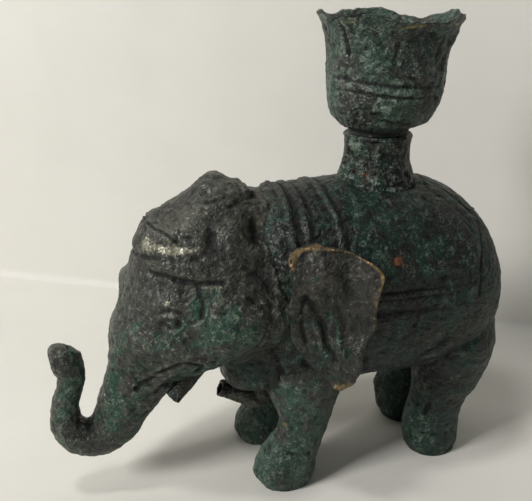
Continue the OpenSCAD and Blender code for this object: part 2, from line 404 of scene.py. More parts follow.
@dataclass(frozen=True)
class Dab:
    """A lump or dent: height times exp of minus the squared distance from its centre, which is
    measured in its own radii."""

    centre: tuple[float, float, float]
    radii: tuple[float, float, float]
    height: float
    both_sides: bool = True

    def strength(self, skin: Skin) -> Array:
        """How much of the dab's height each point of a skin has, from 0 to 1."""
        place, _ = mirrored(skin, self.both_sides)
        offset = (place - np.array(self.centre)) / np.array(self.radii)
        return np.exp(-(offset**2).sum(1))

    def relief(self, skin: Skin) -> Array:
        """Height of the dab at each point of a skin."""
        return self.height * self.strength(skin)


def one_sided(*marks: Stroke | Dab) -> list[Stroke | Dab]:
    """The marks, each on its own side only."""
    return [replace(mark, both_sides=False) for mark in marks]


def mirrored(skin: Skin, both_sides: bool) -> tuple[Array, Array]:
    """Points and normals of a skin, turned over to the left side if both sides are meant."""
    place, out = skin.points.copy(), skin.normals()
    if both_sides:
        turn = np.where(place[:, 1] > 0, -1.0, 1.0)
        place[:, 1] *= turn
        out[:, 1] *= turn
    return place, out


@dataclass(frozen=True)
class CastSkin:
    """Unevenness of a rough casting: broad lumps, hammered dimples, grit and pits."""

    lumps: float = 0.3
    dimples: float = 0.2
    grit: float = 0.09
    pits: float = 0.2
    seed: int = 1

    def relief(self, points: Array) -> Array:
        """Height of the casting's unevenness at each point.

        It is a sum of three noises of 9, 2.6 and 0.9 mm, less a pit wherever a noise of
        1.5 mm is above 0.55.
        """
        pit = np.clip(lattice_noise(points, 1.5, self.seed + 40) - 0.55, 0, 0.3) / 0.3
        return (
            self.lumps * rough(points, 9.0, self.seed)
            + self.dimples * rough(points, 2.6, self.seed + 10)
            + self.grit * rough(points, 0.9, self.seed + 20, 2)
            - self.pits * pit
        )


def carve(skin: Skin, marks: Sequence[Stroke | Dab], cast: CastSkin) -> Skin:
    """The skin with all its marks and the casting's unevenness pushed into it at once."""
    return skin.pushed(cast.relief(skin.points) + sum(m.relief(skin) for m in marks))


def make_piece(
    name: str, skin: Skin, finish: bpy.types.Material, masks: dict[str, Array] | None = None
) -> bpy.types.Object:
    """Blender object of a skin, with the masks that its finish reads.

    Args:
        name: Name of the piece.
        skin: Its shape in millimetres.
        finish: Its material.
        masks: Where the metal is rubbed bright or carries a painted highlight (the brass mask), where it is
            green ("verdigris"), and where painted shade darkens it (the hollow mask), by point.

    Returns:
        The linked object, smooth shaded, in metres.
    """
    mesh = smooth_mesh(name, skin.points, skin.tris, finish)
    blank = np.zeros(len(skin.points))
    # Painted shade: faces that turn downwards are darkened as if in shade, on top of the darkening in the
    # hollows.
    under = 0.3 * np.clip(-skin.normals()[:, 2], 0, 1)
    layers = {"hollow": skin.hollows() + under, "brass": blank, "verdigris": blank} | (masks or {})
    for key, values in layers.items():
        layer = mesh.attributes.new(key, "FLOAT", "POINT")
        layer.data.foreach_set("value", np.ascontiguousarray(values, dtype=np.float32))
    piece = new_object(name, mesh)
    LOG.info("%s: %d triangles", name, len(skin.tris))
    return piece


def settle(piece: bpy.types.Object, body: str, node: str) -> None:
    """Put a piece on its body, in place of the node that it stands for.

    Args:
        piece: The finished object.
        body: Body that it rides on.
        node: Node that it replaces.
    """
    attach(piece, body)
    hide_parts(node)


# ---------------------------------------------------------------------------------------
# Finishes
# ---------------------------------------------------------------------------------------

# Colour of the grime and of the painted shade in hollows and on downward faces, then the width of the pits
# and the depth of the bump maps, in mm.
GRIME_AND_SHADE = (0.003, 0.0038, 0.0034, 1)
PIT_SIZE = 1.4
BUMP_DEPTH = 1.3
CRUST_DEPTH = 0.4


class Bench:
    """Short calls for laying out the nodes of one tree."""

    def __init__(self, tree: bpy.types.NodeTree) -> None:
        """Start on a tree."""
        self.tree = tree

    def add(
        self, kind: str, inputs: dict[str | int, object] | None = None, **settings: object
    ) -> bpy.types.Node:
        """A new node of a kind, with its inputs fed and its properties set."""
        node = self.tree.nodes.new(kind)
        for key, value in settings.items():
            setattr(node, key, value)
        self.feed(node, inputs or {})
        return node

    def feed(self, node: bpy.types.Node, inputs: dict[str | int, object]) -> None:
        """Link other nodes' outputs to a node's inputs, or set these to plain values."""
        for key, value in inputs.items():
            if isinstance(value, Socket):
                self.tree.links.new(value, node.inputs[key])
            else:
                node.inputs[key].default_value = value

    def noise(
        self, place: Socket, size: float, detail: float = 4, rough: float = 0.6, twist: float = 0
    ) -> Socket:
        """Noise from 0 to 1 whose broadest lumps are size millimetres wide."""
        shape = {"Scale": 1 / (size * MM), "Detail": detail, "Roughness": rough, "Distortion": twist}
        return self.add("ShaderNodeTexNoise", {"Vector": place} | shape).outputs["Fac"]

    def sum(self, *terms: object) -> Socket:
        """Sum of sockets and numbers."""
        return self.chain("ADD", *terms)

    def product(self, *terms: object) -> Socket:
        """Product of sockets and numbers."""
        return self.chain("MULTIPLY", *terms)

    def chain(self, operation: str, *terms: object) -> Socket:
        """Result of one operation along a row of terms."""
        total = terms[0]
        for term in terms[1:]:
            total = self.add("ShaderNodeMath", {0: total, 1: term}, operation=operation).outputs[0]
        return total

    def step(self, value: Socket, low: object, high: object) -> Socket:
        """Smooth step of a value, 0 below low and 1 above high."""
        inputs = {"Value": value, "From Min": low, "From Max": high}
        return self.add("ShaderNodeMapRange", inputs, interpolation_type="SMOOTHSTEP").outputs["Result"]

    def mix(self, share: Socket, first: object, second: object) -> Socket:
        """Colour between two others."""
        inputs = {0: share, 6: first, 7: second}
        return self.add("ShaderNodeMix", inputs, data_type="RGBA").outputs[2]


def blank_material(name: str) -> tuple[bpy.types.Material, Bench, bpy.types.Node, Socket]:
    """A new material with a bench on its tree, its shader and its object coordinates."""
    material = bpy.data.materials.new(name)
    material.use_nodes = True
    bench = Bench(material.node_tree)
    place = bench.add("ShaderNodeTexCoord").outputs["Object"]
    return material, bench, material.node_tree.nodes["Principled BSDF"], place


def patina_group() -> bpy.types.NodeTree:
    """Node group of old bronze: dark metal under warm patches, green crusts, pale specks, rubbed brassy
    metal and painted highlights.

    A layer lies where its noise is above 0.7 - 0.4 share. Green gathers by the verdigris mask, pale specks
    keep to raised places, and a dark colour of grime and painted shade fills the hollows, the downward
    faces and the places that a piece marks as shaded.

    Returns:
        The group, with the outputs Colour, Roughness, Metallic and Height.
    """
    group = bpy.data.node_groups.new("old bronze", "ShaderNodeTree")
    for way, kind, names in (
        ("INPUT", "Vector", "Place"),
        ("INPUT", "Float", "Hollow,Brass,Verdigris,Green share,Warm share,Pale share"),
        ("INPUT", "Color", "Dark,Green,Warm,Pale,Metal"),
        ("OUTPUT", "Color", "Colour"),
        ("OUTPUT", "Float", "Roughness,Metallic,Height"),
    ):
        for name in names.split(","):
            group.interface.new_socket(name, in_out=way, socket_type="NodeSocket" + kind)

    bench = Bench(group)
    given = bench.add("NodeGroupInput").outputs
    place, hollow = given["Place"], given["Hollow"]
    broad = bench.noise(place, 18, 3, 0.5)
    crust = bench.noise(place, 6, 7, 0.7)
    fine = bench.noise(place, 1.9, 5, 0.7)
    grain = bench.noise(place, 0.6, 3, 0.6)
    curls = bench.noise(place, 2.6, 2, 0.5, 1.6)
    swell = bench.noise(place, 4.2, 2, 0.5, 0.8)
    chips = bench.noise(place, 1.6, 2, 0.5, 0.6)
    curl = bench.step(bench.chain("ABSOLUTE", bench.sum(curls, -0.5), 0), 0.045, 0.0)

    def over(noise: Socket, share: Socket, soft: float) -> Socket:
        """Mask of a noise above the threshold that a share sets, with a soft edge."""
        low = bench.sum(0.7, bench.product(share, -0.4))
        return bench.step(noise, low, bench.sum(low, soft))

    def blend(*terms: tuple[Socket, float]) -> Socket:
        """Sum of sockets, each with its own weight."""
        return bench.sum(*(bench.product(socket, weight) for socket, weight in terms))

    warm = over(blend((broad, 0.6), (fine, 0.4)), given["Warm share"], 0.14)
    green = over(blend((broad, 0.35), (crust, 0.65), (given["Verdigris"], 0.16)), given["Green share"], 0.1)
    bare = bench.step(blend((fine, 0.55), (grain, 0.25), (crust, 0.2), (hollow, -0.06)), 0.4, 0.6)
    specks = blend(
        (grain, 0.3), (fine, 0.5), (crust, 0.2), (curl, 0.1), (hollow, -0.07), (given["Verdigris"], 0.05)
    )
    pale = over(specks, given["Pale share"], 0.09)
    # Rubbed brassy metal, and painted highlights where a piece marks spots that catch the light.
    brass = bench.step(blend((given["Brass"], 1), (crust, 0.6), (fine, 1.2)), 1.18, 1.45)
    # Grime and painted shade: a dark colour in the hollows, on downward faces and wherever a piece marks
    # shade.
    grime_and_shade = bench.step(blend((hollow, 1), (fine, 0.6)), 0.3, 1.1)

    colour = bench.mix(warm, given["Dark"], given["Warm"])
    colour = bench.mix(green, colour, given["Green"])
    bare = bench.sum(0.45, bench.product(bare, 0.55))
    colour = bench.mix(bare, GRIME_AND_SHADE, colour)
    colour = bench.mix(bench.product(pale, 0.75), colour, given["Pale"])
    colour = bench.mix(bench.product(grime_and_shade, 0.85), colour, GRIME_AND_SHADE)
    colour = bench.mix(brass, colour, given["Metal"])
    roughness = bench.sum(0.27, blend((crust, 0.22), (green, 0.08), (grime_and_shade, 0.3), (pale, 0.08)))
    metallic = bench.sum(0.05, bench.product(brass, 0.6))
    pits = bench.add("ShaderNodeTexVoronoi", {"Vector": place, "Scale": 1 / (PIT_SIZE * MM)})
    pitted = bench.product(bench.step(pits.outputs["Distance"], 0.34, 0.1), bench.step(crust, 0.45, 0.6))
    height = blend((swell, 1.3), (chips, 0.42), (grain, 0.04), (curl, 0.14), (pitted, -0.25))
    outputs = {"Colour": colour, "Roughness": roughness, "Metallic": metallic, "Height": height}
    bench.add("NodeGroupOutput", outputs)
    return group


@dataclass(frozen=True)
class Bronze:
    """Finish of one part of the casting: its colours and how much of each lies on it."""

    name: str
    dark: Colour = (0.012, 0.014, 0.012, 1)
    green: Colour = (0.009, 0.032, 0.023, 1)
    warm: Colour = (0.034, 0.035, 0.029, 1)
    pale: Colour = (0.085, 0.115, 0.09, 1)
    metal: Colour = (0.11, 0.065, 0.03, 1)
    green_share: float = 0.45
    warm_share: float = 0.42
    pale_share: float = 0.28
    relief: float = 0.9
    gloss: float = 0.3

    def material(self, group: bpy.types.NodeTree) -> bpy.types.Material:
        """Material of the finish.

        Args:
            group: The node group of old bronze.

        Returns:
            The new material.
        """
        material, bench, shader, place = blank_material(self.name)
        inputs = {"Place": place}
        for name in ("hollow", "brass", "verdigris"):
            mask = bench.add("ShaderNodeAttribute", attribute_name=name)
            inputs[name.capitalize()] = mask.outputs["Fac"]
        for name in ("dark", "green", "warm", "pale", "metal"):
            inputs[name.capitalize()] = getattr(self, name)
        for name in ("green", "warm", "pale"):
            inputs[f"{name.capitalize()} share"] = getattr(self, f"{name}_share")
        patina = bench.add("ShaderNodeGroup", node_tree=group)
        bench.feed(patina, inputs)
        look = patina.outputs
        relief = {"Strength": self.relief, "Distance": BUMP_DEPTH * MM, "Height": look["Height"]}
        surface = {
            "Base Color": look["Colour"],
            "Roughness": look["Roughness"],
            "Metallic": look["Metallic"],
            "Normal": bench.add("ShaderNodeBump", relief).outputs["Normal"],
            "Specular IOR Level": self.gloss,
        }
        bench.feed(shader, surface)
        return material


@dataclass(frozen=True)
class Crust:
    """Dull finish of two mottled colours, such as fired clay or rust."""

    name: str
    first: Colour
    second: Colour
    patch: float
    roughness: float = 0.9

    def material(self) -> bpy.types.Material:
        """Material of the finish."""
        material, bench, shader, place = blank_material(self.name)
        mottle = bench.noise(place, self.patch, 6, 0.65)
        relief = {"Strength": 0.5, "Distance": CRUST_DEPTH * MM, "Height": mottle}
        surface = {
            "Base Color": bench.mix(bench.step(mottle, 0.4, 0.6), self.first, self.second),
            "Roughness": self.roughness,
            "Normal": bench.add("ShaderNodeBump", relief).outputs["Normal"],
        }
        bench.feed(shader, surface)
        return material


FLANK = Bronze("flank patina")
HEAD = Bronze(
    "head patina", dark=(0.036, 0.037, 0.031, 1), green=(0.015, 0.054, 0.034, 1),
    warm=(0.082, 0.084, 0.066, 1), pale=(0.18, 0.205, 0.155, 1), metal=(0.25, 0.245, 0.19, 1),
    warm_share=0.6, pale_share=0.24, green_share=0.42, gloss=0.38, relief=0.75,
)
LEG = Bronze(
    "leg patina", dark=(0.029, 0.034, 0.028, 1), green=(0.021, 0.062, 0.043, 1),
    warm=(0.08, 0.082, 0.065, 1), pale=(0.17, 0.2, 0.155, 1), metal=(0.22, 0.16, 0.07, 1),
    warm_share=0.5, pale_share=0.24, green_share=0.42, gloss=0.45,
)
# Darker copy of the leg finish for the hind legs and the tail: partly a darker patina, partly painted shade
# for parts that stand away from the light.
DARK_SHADED_HIND = replace(
    LEG, name="hind leg patina", dark=(0.014, 0.018, 0.015, 1), green=(0.012, 0.04, 0.029, 1),
    warm=(0.034, 0.036, 0.029, 1), pale=(0.12, 0.145, 0.115, 1), pale_share=0.22, gloss=0.35,
)
EAR = Bronze(
    "ear bronze", dark=(0.028, 0.028, 0.024, 1), warm=(0.07, 0.065, 0.052, 1),
    pale=(0.15, 0.17, 0.135, 1), metal=(0.15, 0.105, 0.055, 1), warm_share=0.55, pale_share=0.18,
    green_share=0.42, relief=0.65,
)
TUSK = Bronze("tusk bronze", green_share=0.25, pale_share=0.3)
STEM = Bronze(
    "stem patina", warm=(0.06, 0.06, 0.05, 1), pale=(0.18, 0.22, 0.18, 1), pale_share=0.38,
    green_share=0.45, warm_share=0.5,
)
CUP = Bronze(
    "cup patina", dark=(0.02, 0.025, 0.021, 1), green=(0.018, 0.058, 0.039, 1),
    warm=(0.06, 0.06, 0.048, 1), pale=(0.16, 0.195, 0.155, 1), metal=(0.3, 0.22, 0.1, 1),
    green_share=0.5, pale_share=0.36, gloss=0.5,
)
CLAY = Crust("fired clay", (0.19, 0.075, 0.04, 1), (0.09, 0.045, 0.03, 1), 6)
RUST = Crust("rusted iron", (0.16, 0.055, 0.018, 1), (0.05, 0.022, 0.012, 1), 1.2)


# ---------------------------------------------------------------------------------------
# Torso
# ---------------------------------------------------------------------------------------


@dataclass
class Torso:
    """Barrel of the body, from the neck inside the head to the end of the rump.

    A ring at x has y = w c and z = m + h s, where w is the half width, m and h the middle and
    half of its height, and c and s the cosine and sine of the ring's angle, each raised to the
    power of the roundness with its sign kept. A plate's pocket is given by the middle, half
    length and half width of its outline, and the height of its roof.
    """

    rings: int = 250
    around: int = 330
    roundness: float = 0.88
    tail_end: float = 73 / 74
    plate: tuple[float, float, float, float] = (30.5, 13.6, 10.1, 35.5)
    pin: tuple[float, float, float] = (26.5, -27.8, 82)
    cloth_z: float = 71.4
    low_line_z: float = 65.8
    cloth_edge: Rows = (
        (66, 55.2), (73, 55.6), (78, 55.8), (83, 57.1), (86, 58.6), (89, 59.1), (93, 55), (98, 48),
    )
    rows: Rows = (
        (-22, 62, 38.5, 6), (-20.8, 72, 35.5, 12), (-17.5, 80, 33.5, 16), (-14, 89.5, 32.8, 19),
        (-10, 96, 32.5, 21.5), (-5, 99, 32.5, 25), (4.5, 99.7, 33, 27.7), (17, 100.2, 33.5, 29.5),
        (32, 100.5, 33.3, 30), (46, 99, 33.8, 29.7), (56.5, 95.5, 35.5, 28.3), (64.5, 89, 38.5, 25),
        (69.5, 81, 40.5, 20.3), (72.6, 72.5, 45.5, 14), (74, 61, 54, 3),
    )

    def gap(self, points: Array) -> Array:
        """Rough distance from points to the barrel, negative inside it.

        It compares a point with the ring at its x, along the ray from the ring's middle, and
        adds how far the point lies beyond either end.
        """
        x = np.clip(points[:, 0] / self.tail_end, self.rows[0][0], self.rows[-1][0])
        row = spline_by_first(self.rows, x)
        middle, half = halves(row[:, 1], row[:, 2])
        across, up = np.abs(points[:, 1]) / row[:, 3], np.abs(points[:, 2] - middle) / half
        power = 1 / self.roundness
        level = (across ** (2 * power) + up ** (2 * power)) ** (0.5 * self.roundness)
        reach = np.hypot(points[:, 1], points[:, 2] - middle)
        return reach * (1 - 1 / np.maximum(level, 1e-6)) + np.abs(points[:, 0] - x * self.tail_end)

    def flared(self, skin: Skin, height: float, reach: float) -> Skin:
        """A skin pushed out where it comes near the barrel, so that it joins in a fillet.

        It moves most where the two faces stand across each other, and not where they run on.

        Args:
            skin: Skin of a limb that runs into the barrel.
            height: How far it is pushed out where it meets the barrel.
            reach: Distance over which that fades.

        Returns:
            The flared skin.
        """
        here = self.gap(skin.points)
        slope = np.stack([self.gap(skin.points + 0.3 * axis) - here for axis in np.eye(3)], axis=1)
        slope /= np.maximum(np.linalg.norm(slope, axis=1, keepdims=True), 1e-9)
        apart = 1 - np.clip(np.einsum("ij,ij->i", slope, skin.normals()), 0, 1)
        apart = skin.averaged(apart, 6)
        return skin.pushed(height * apart * np.exp(-((np.clip(here, 0, None) / reach) ** 1.3)))

    def shape(self) -> Skin:
        """The bare barrel, its rings evenly spaced along its outline."""
        x = np.linspace(self.rows[0][0], self.rows[-1][0], 2000)
        row = spline_by_first(self.rows, x)
        length = np.concatenate([[0], np.cumsum(np.linalg.norm(np.diff(row, axis=0), axis=1))])
        even = np.interp(np.linspace(0, length[-1], self.rings), length, x)
        row = spline_by_first(self.rows, even)
        angle = angles(self.around)
        c, s = (signed_power(wave(angle), self.roundness) for wave in (np.cos, np.sin))
        middle, half = halves(row[:, 1], row[:, 2])
        x, z = row[:, :1] * self.tail_end, middle[:, None] + half[:, None] * s
        return Skin.over_rings(stacked(x, row[:, 3, None] * c, z))

    def neck_ridges(self, skin: Skin) -> Array:
        """Height of three cords over the neck, each between two grooves, and of the flat band
        that lies between the second cord and the third.

        With d the distance behind a cord and h its height, the cord adds h exp(-(d / 0.75)^2)
        and its grooves take away 0.55 h exp(-((d - 1.7) / 0.85)^2) behind it and
        0.3 h exp(-((d + 1.7) / 0.85)^2) in front. All of it fades out below the shoulder.
        """
        x, y, z = skin.points.T
        total = np.zeros(len(x))
        for start, slope, height in ((-2.0, 0.08, 0.8), (1.6, 0.02, 0.5), (9.6, -0.03, 0.55)):
            behind = x - start + slope * np.abs(y) + 0.35 * rough(skin.points, 11, int(start) + 60, 2)
            total += height * bell(behind, 0.75)
            total -= 0.55 * height * bell(behind - 1.7, 0.85)
            total -= 0.3 * height * bell(behind + 1.7, 0.85)
        total -= 0.12 * np.exp(-(((x - 5.7) / 2.4) ** 4))
        return total * ramp(z, 62, 16)

    def cloth_lines(self, skin: Skin) -> Array:
        """Height of the lines of the saddle cloth: two grooves along the flank and a fainter
        one below them, all fading out towards the back, and three grooves round the back
        edge of the cloth with a low swelling between the first two."""
        x, y, z = skin.points.T
        sway = 0.3 * rough(skin.points, 14, 71, 2)
        flank = 1 / (1 + np.exp(-(x - 14) / 1.5)) / (1 + np.exp((x - 42) / 5)) * (np.abs(y) > 15)
        down = z - self.cloth_z - sway
        total = flank * (
            -0.75 * bell(down - 1.2, 0.55) - 0.35 * bell(down + 1.2, 0.5) + 0.1 * np.tanh(down / 2.5)
        )
        total -= 0.3 * flank * bell(z - self.low_line_z - sway, 0.9)
        edge = x - np.interp(z, *zip(*self.cloth_edge)) - sway
        upper = ramp(z, 66, 5)
        for offset, height in ((0.0, -0.36), (-4.2, -0.2), (3.6, -0.16)):
            total += upper * height * bell(edge - offset, 0.55)
        return total + 0.1 * upper * bell(edge + 2.1, 1.2)

    def marks(self) -> list[Stroke | Dab]:
        """Folds of the skin, swellings over the limbs and the dents of the iron pins."""
        return [
            Stroke([(30, -21, 40.5), (34.6, -23.6, 44), (38, -25.4, 47), (42.5, -26.9, 50.4),
                (48, -27.4, 53.5)], 1.0, -0.45),
            Stroke([(36, -22.5, 41.5), (42, -25.4, 46.5), (50, -26.3, 52)], 1.6, 0.35),
            Stroke([(-2.1, -23.9, 51.6), (1.5, -23, 46.2), (8.2, -23.4, 40.5)], 0.9, -0.5),
            Stroke([(-5, -20, 60), (-4.5, -22.5, 52), (-3, -21.5, 44)], 1.4, 0.6),
            Stroke([(-7.5, -18, 56), (-7, -19.5, 49), (-5.5, -18, 41)], 1.1, -0.6),
            Stroke([(12, -28.6, 58), (17, -28.5, 50), (20, -26, 42)], 2.2, -0.4),
            Dab(self.pin, (1.9, 4, 1.7), -0.75),
            Dab((33, -28.6, 61), (0.8, 3, 0.8), -0.5),
            Dab((21.5, -26.5, 84.5), (2.2, 3, 1.2), 0.25),
            Dab((50, -25, 62), (9, 8, 11), 0.5),
            Dab((40, -29, 75), (10, 6, 1.6), -0.25),
            Dab((6, 0, 33), (1.8, 1.8, 3), -0.5),
            Dab((46, 0, 33), (1.8, 1.8, 3), -0.5),
            Stroke([(37, -9.5, 101), (40, -8, 100), (44, -7.5, 99)], 1.0, 0.7, both_sides=False),
            Stroke(
                [(34.5, -11.3, 99.5), (38.5, -10.5, 99.3), (41, -8.4, 99.5)], 0.8, -0.5, both_sides=False
            ),
            Dab((-11, 0, 99), (3, 12, 3), -0.6),
            Dab((-18, -12, 42), (5, 7, 9), 2.0),
            Dab((-12, -17, 39), (6, 6, 7), 2.2),
        ]

    def build(self, finish: bpy.types.Material) -> None:
        """Make the barrel, with a pocket for the belly plate, and settle it."""
        skin = self.shape()
        detail = self.neck_ridges(skin) + self.cloth_lines(skin)
        x, y, z = skin.points.T
        chest = 0.5 * np.exp(-(((x + 3) / 9) ** 2) - ((z - 48) / 11) ** 2) * rough(skin.points, 3.4, 5)
        skin = carve(skin, self.marks(), CastSkin(seed=3)).pushed(detail + chest)
        middle, half_length, half_width, roof = self.plate
        in_pocket = (np.abs(x - middle) < half_length) & (np.abs(y) < half_width) & (z < 50)
        skin.points[in_pocket, 2] = roof
        rusty = Dab(self.pin, (3.2, 4, 2.2), 1).strength(skin)
        hem = Stroke([(9.6, -5, 99.5), (9.9, -16, 96), (10.2, -24, 88)], 0.8, 1).strength(skin)
        crown = ramp(skin.points[:, 2], 84, 14) * ramp(skin.points[:, 0], 20, -12)
        masks = {"brass": 0.55 * rusty + 0.25 * hem, "verdigris": 0.4 * (1 - crown) + 0.3 * hem}
        settle(make_piece("torso_skin", skin, finish, masks), "elephant", "torso")


# ---------------------------------------------------------------------------------------
# Head, ears and tusks
# ---------------------------------------------------------------------------------------


@dataclass
class Head:
    """Skull and trunk, fused into one skin.

    A ring of the skull at height z has x = m + h c, where m and h are the middle and half of
    its length and c is cos t to the power 0.92 with its sign kept, and
    y = w sin t (1 + 0.22 cos t), which is broader at the back than at the front.
    """

    voxel: float = 0.5
    skull: Rows = (
        (36, -58.5, -46, 5.5), (41, -58, -34, 9.5), (46, -57.6, -22, 14.5), (52, -57, -9, 20),
        (59, -56.3, 0, 25.5), (67, -52.6, 3, 27.2), (74, -50, 1.5, 24.5), (82, -48, -1, 21),
        (88.5, -46, -4, 17), (93, -43, -6, 13.5), (96.5, -36.5, -8, 11.5), (100.5, -30.5, -12, 9),
        (103.6, -27, -16, 5.5), (105.3, -24, -20, 2.5),
    )
    trunk: Rows = (
        (-38.7, 0, 50.2, 13), (-47, 0, 42, 11), (-52.7, 0, 33.2, 9.2), (-56.8, 0, 24.9, 7.8),
        (-62.5, 0, 20.3, 6.6), (-68.4, 0, 21.3, 5.9), (-72.1, 0, 26.9, 5.2), (-71.7, 0, 34.1, 4.5),
        (-69.6, 0, 40.9, 4.3), (-69.2, 0, 46.4, 4.6), (-71.8, 0, 50, 5.2), (-74.6, 0, 50, 4.2),
    )

    def skull_skin(self) -> Skin:
        """The bare skull."""
        z = np.linspace(self.skull[0][0], self.skull[-1][0], 120)
        row = spline_by_first(self.skull, z)
        angle = angles(140)
        middle, half = halves(row[:, 2], row[:, 1])
        x = middle[:, None] + half[:, None] * signed_power(np.cos(angle), 0.92)
        y = row[:, 3, None] * np.sin(angle) * (1 + 0.22 * np.cos(angle))
        return Skin.over_rings(stacked(x, y, z[:, None]))

    def lumps(self) -> list[Stroke | Dab]:
        """Swellings and hollows of the skull, pushed in before the lines."""
        return [
            Dab((-23, -26.5, 66), (8, 9, 9), 0.9),
            Dab((-34.5, -23, 66.5), (5, 6, 9), -1.3),
            Dab((-33, -21, 77), (4, 5, 3), -0.7),
            Dab((-41, -17.3, 72.3), (5.5, 4.5, 3.2), 1.3),
            Dab((-42.5, -19.5, 66.5), (5, 4, 3), -0.5),
            Dab((-49.6, -10.5, 74.5), (4.5, 4.5, 5), 0.9),
            Dab((-49.5, 10.5, 72), (4, 4.5, 4.6), 3.0, both_sides=False),
            Dab((-36, -16, 83.3), (9, 6, 2.4), 1.3),
            Dab((-42, -4, 90), (3.5, 3.2, 2.6), 0.8),
            Dab((-20.5, -15.5, 91.5), (5.2, 5, 5), 2.5),
            Dab((-31.5, -12, 93.5), (5, 5, 4.5), 1.5),
            Dab((-14.5, -17.5, 86.5), (3.5, 4, 3.2), 1.2),
            Dab((-12.5, -15.5, 90), (3.4, 4, 4.6), -2.4),
            Dab((-26.4, -14, 89), (1.8, 5, 5), -1.4),
            Dab((-41.6, -1, 95), (2.3, 3, 1.8), 1.3),
            Dab((-16.5, -2, 103), (3, 5, 2.4), -0.8),
            Dab((-13.4, -4.5, 102.3), (1.3, 1.5, 1.4), 1.9),
            Dab((-22.5, 0, 105), (5, 6, 3), 0.5),
            Dab((-13, -23, 79), (5, 5, 6), -1.0),
            Dab((-27, -19, 54.5), (8, 5, 3), -0.9),
            Dab((-49, -12, 58), (7, 6, 6), 0.5),
            Dab((-52, -8, 50), (5, 5, 8), 0.5),
        ]

    def lines(self) -> list[Stroke | Dab]:
        """Brow band, creases, eye, mouth and the small fins of the trunk."""
        band = [(-47.2, 1, 86.7), (-45.7, -5, 86.7), (-40.7, -10.8, 87), (-35.1, -14.9, 86.4),
            (-30.2, -17, 87.6)]
        slant = [(-42.7, -1.5, 93.6), (-40.8, -5.9, 92.9), (-36.1, -11.6, 90.8), (-32.3, -15.4, 88.4)]
        lid = [
            (-42.9, -17.6, 68.7), (-41.2, -18.5, 69.9), (-39.4, -19.8, 70.2), (-37.6, -21.3, 69.4),
            (-37.3, -22.3, 67.3), (-39.1, -21.8, 65.4), (-41.4, -20.1, 65.2), (-42.9, -18.5, 66.6),
        ]
        return [
            Stroke(band, 1.9, 0.75),
            Dab((-45.5, -7.3, 89.4), (1.8, 1.8, 1.6), 0.5),
            Dab((-40.6, -10.4, 88.6), (1.1, 1.2, 1.0), -0.45),
            Dab((-37, -13.2, 87.6), (1.3, 1.3, 0.9), -0.4),
            Dab((-33.6, -15.2, 88.2), (1.2, 1.3, 1.0), 0.4),
            Stroke([(x, y, z - 3.2) for x, y, z in band], 1.0, -0.4),
            Stroke(slant, 0.5, 0.4),
            Stroke([(x - 0.35, y, z - 0.85) for x, y, z in slant], 0.45, -0.55),
            Stroke([(x - 0.7, y, z - 1.7) for x, y, z in slant], 0.5, 0.4),
            Stroke([(-42.9, -2.3, 92.9), (-44.6, -3.4, 90.4), (-46.3, -3.3, 87)], 0.7, -0.5),
            Stroke([(-44, -10.5, 80.4), (-40.3, -14.5, 79.8), (-37, -17.1, 79.4), (-33.9, -18.9, 79.5),
                (-31.3, -20.1, 79.4), (-25, -22, 79.2)], 0.75, -0.95),
            Stroke([(-41, -14, 81.6), (-36, -17.6, 81.2), (-30, -20, 81)], 0.9, 0.35),
            Stroke(lid, 0.6, 0.6),
            Stroke([(x - 0.2, y, z + 1.6) for x, y, z in lid[:4]], 0.6, -0.5),
            Dab((-40, -20.3, 67.5), (1.5, 1.6, 1.2), 0.55),
            Dab((-38, -21.6, 67.9), (0.9, 1.5, 1.2), -1.0),
            Dab((-42.4, -18.6, 67), (0.8, 1.5, 0.9), -0.6),
            Stroke([(-32.2, -20.1, 78.7), (-32, -21.3, 76.1), (-31.5, -22.8, 73),
                (-32.1, -23.9, 70.4)], 0.9, -0.9),
            Stroke([(-30.5, -22.3, 75.1), (-23.4, -23.1, 77.9), (-16.7, -25.4, 74)], 1.0, -0.6),
            Stroke([(-13.6, -27.8, 69), (-14, -27.8, 63), (-17.6, -25.6, 57.6),
                (-24.5, -21.8, 53.2)], 1.2, -0.7),
            Stroke([(-50.5, -9.5, 41.8), (-46.3, -12.8, 46), (-43.6, -15.5, 49.5), (-41.4, -17.4, 51.8),
                (-38.7, -19.3, 53.6), (-35.5, -20.6, 54), (-32, -19.9, 51.5),
                (-32.5, -18, 48.5)], 0.85, -1.5),
            Stroke([(-48.5, -11.5, 45.5), (-45, -15, 50.2), (-41, -18.6, 54.4), (-36, -21.3, 56.4),
                (-31, -21.3, 54.5)], 1.0, 0.55),
            Stroke([(-47, -10.5, 41), (-43.3, -12.5, 44.4), (-39.9, -16.6, 49.4),
                (-36.4, -18.2, 50.6)], 0.9, 0.7),
            Stroke([(-44, -9.5, 40.6), (-38, -13.5, 45.5), (-33.5, -15.5, 47.5)], 0.7, -0.5),
            Stroke([(-20.5, -10.6, 98), (-15.9, -9.8, 98.7), (-11.9, -6.2, 98.9),
                (-10.5, -3, 99.8)], 0.8, -1.2),
            Stroke([(-20, -8.4, 101), (-14.5, -7.6, 101.6), (-10.5, -3, 100.6)], 0.9, 0.5),
            Stroke([(-27, -9, 100), (-22, -9.8, 100.4), (-17.5, -8.6, 101)], 0.7, -0.35),
            Stroke([(-9.5, -22.3, 81), (-9.2, -24.2, 73), (-8.4, -25.2, 65),
                (-8.6, -24.5, 57)], 1.0, 0.4),
            Stroke([(-12.2, -22.3, 78), (-11.8, -25, 70), (-11.6, -26, 64), (-13, -25, 57)], 1.3, -0.5),
            Stroke([(-46.5, -8, 63), (-49, -8, 57), (-51, -7, 51)], 1.3, -0.35),
            *one_sided(
                Dab((-62, 0, 27.4), (1.1, 1.0, 1.3), 1.1),
                Dab((-66.3, 0, 51.0), (1.2, 1.2, 1.2), 0.9),
                Dab((-69.0, 0, 54.6), (1.0, 2.2, 0.8), -0.6),
                Dab((-79, 0, 50.5), (1.6, 1.6, 1.6), -0.7),
            ),
        ]

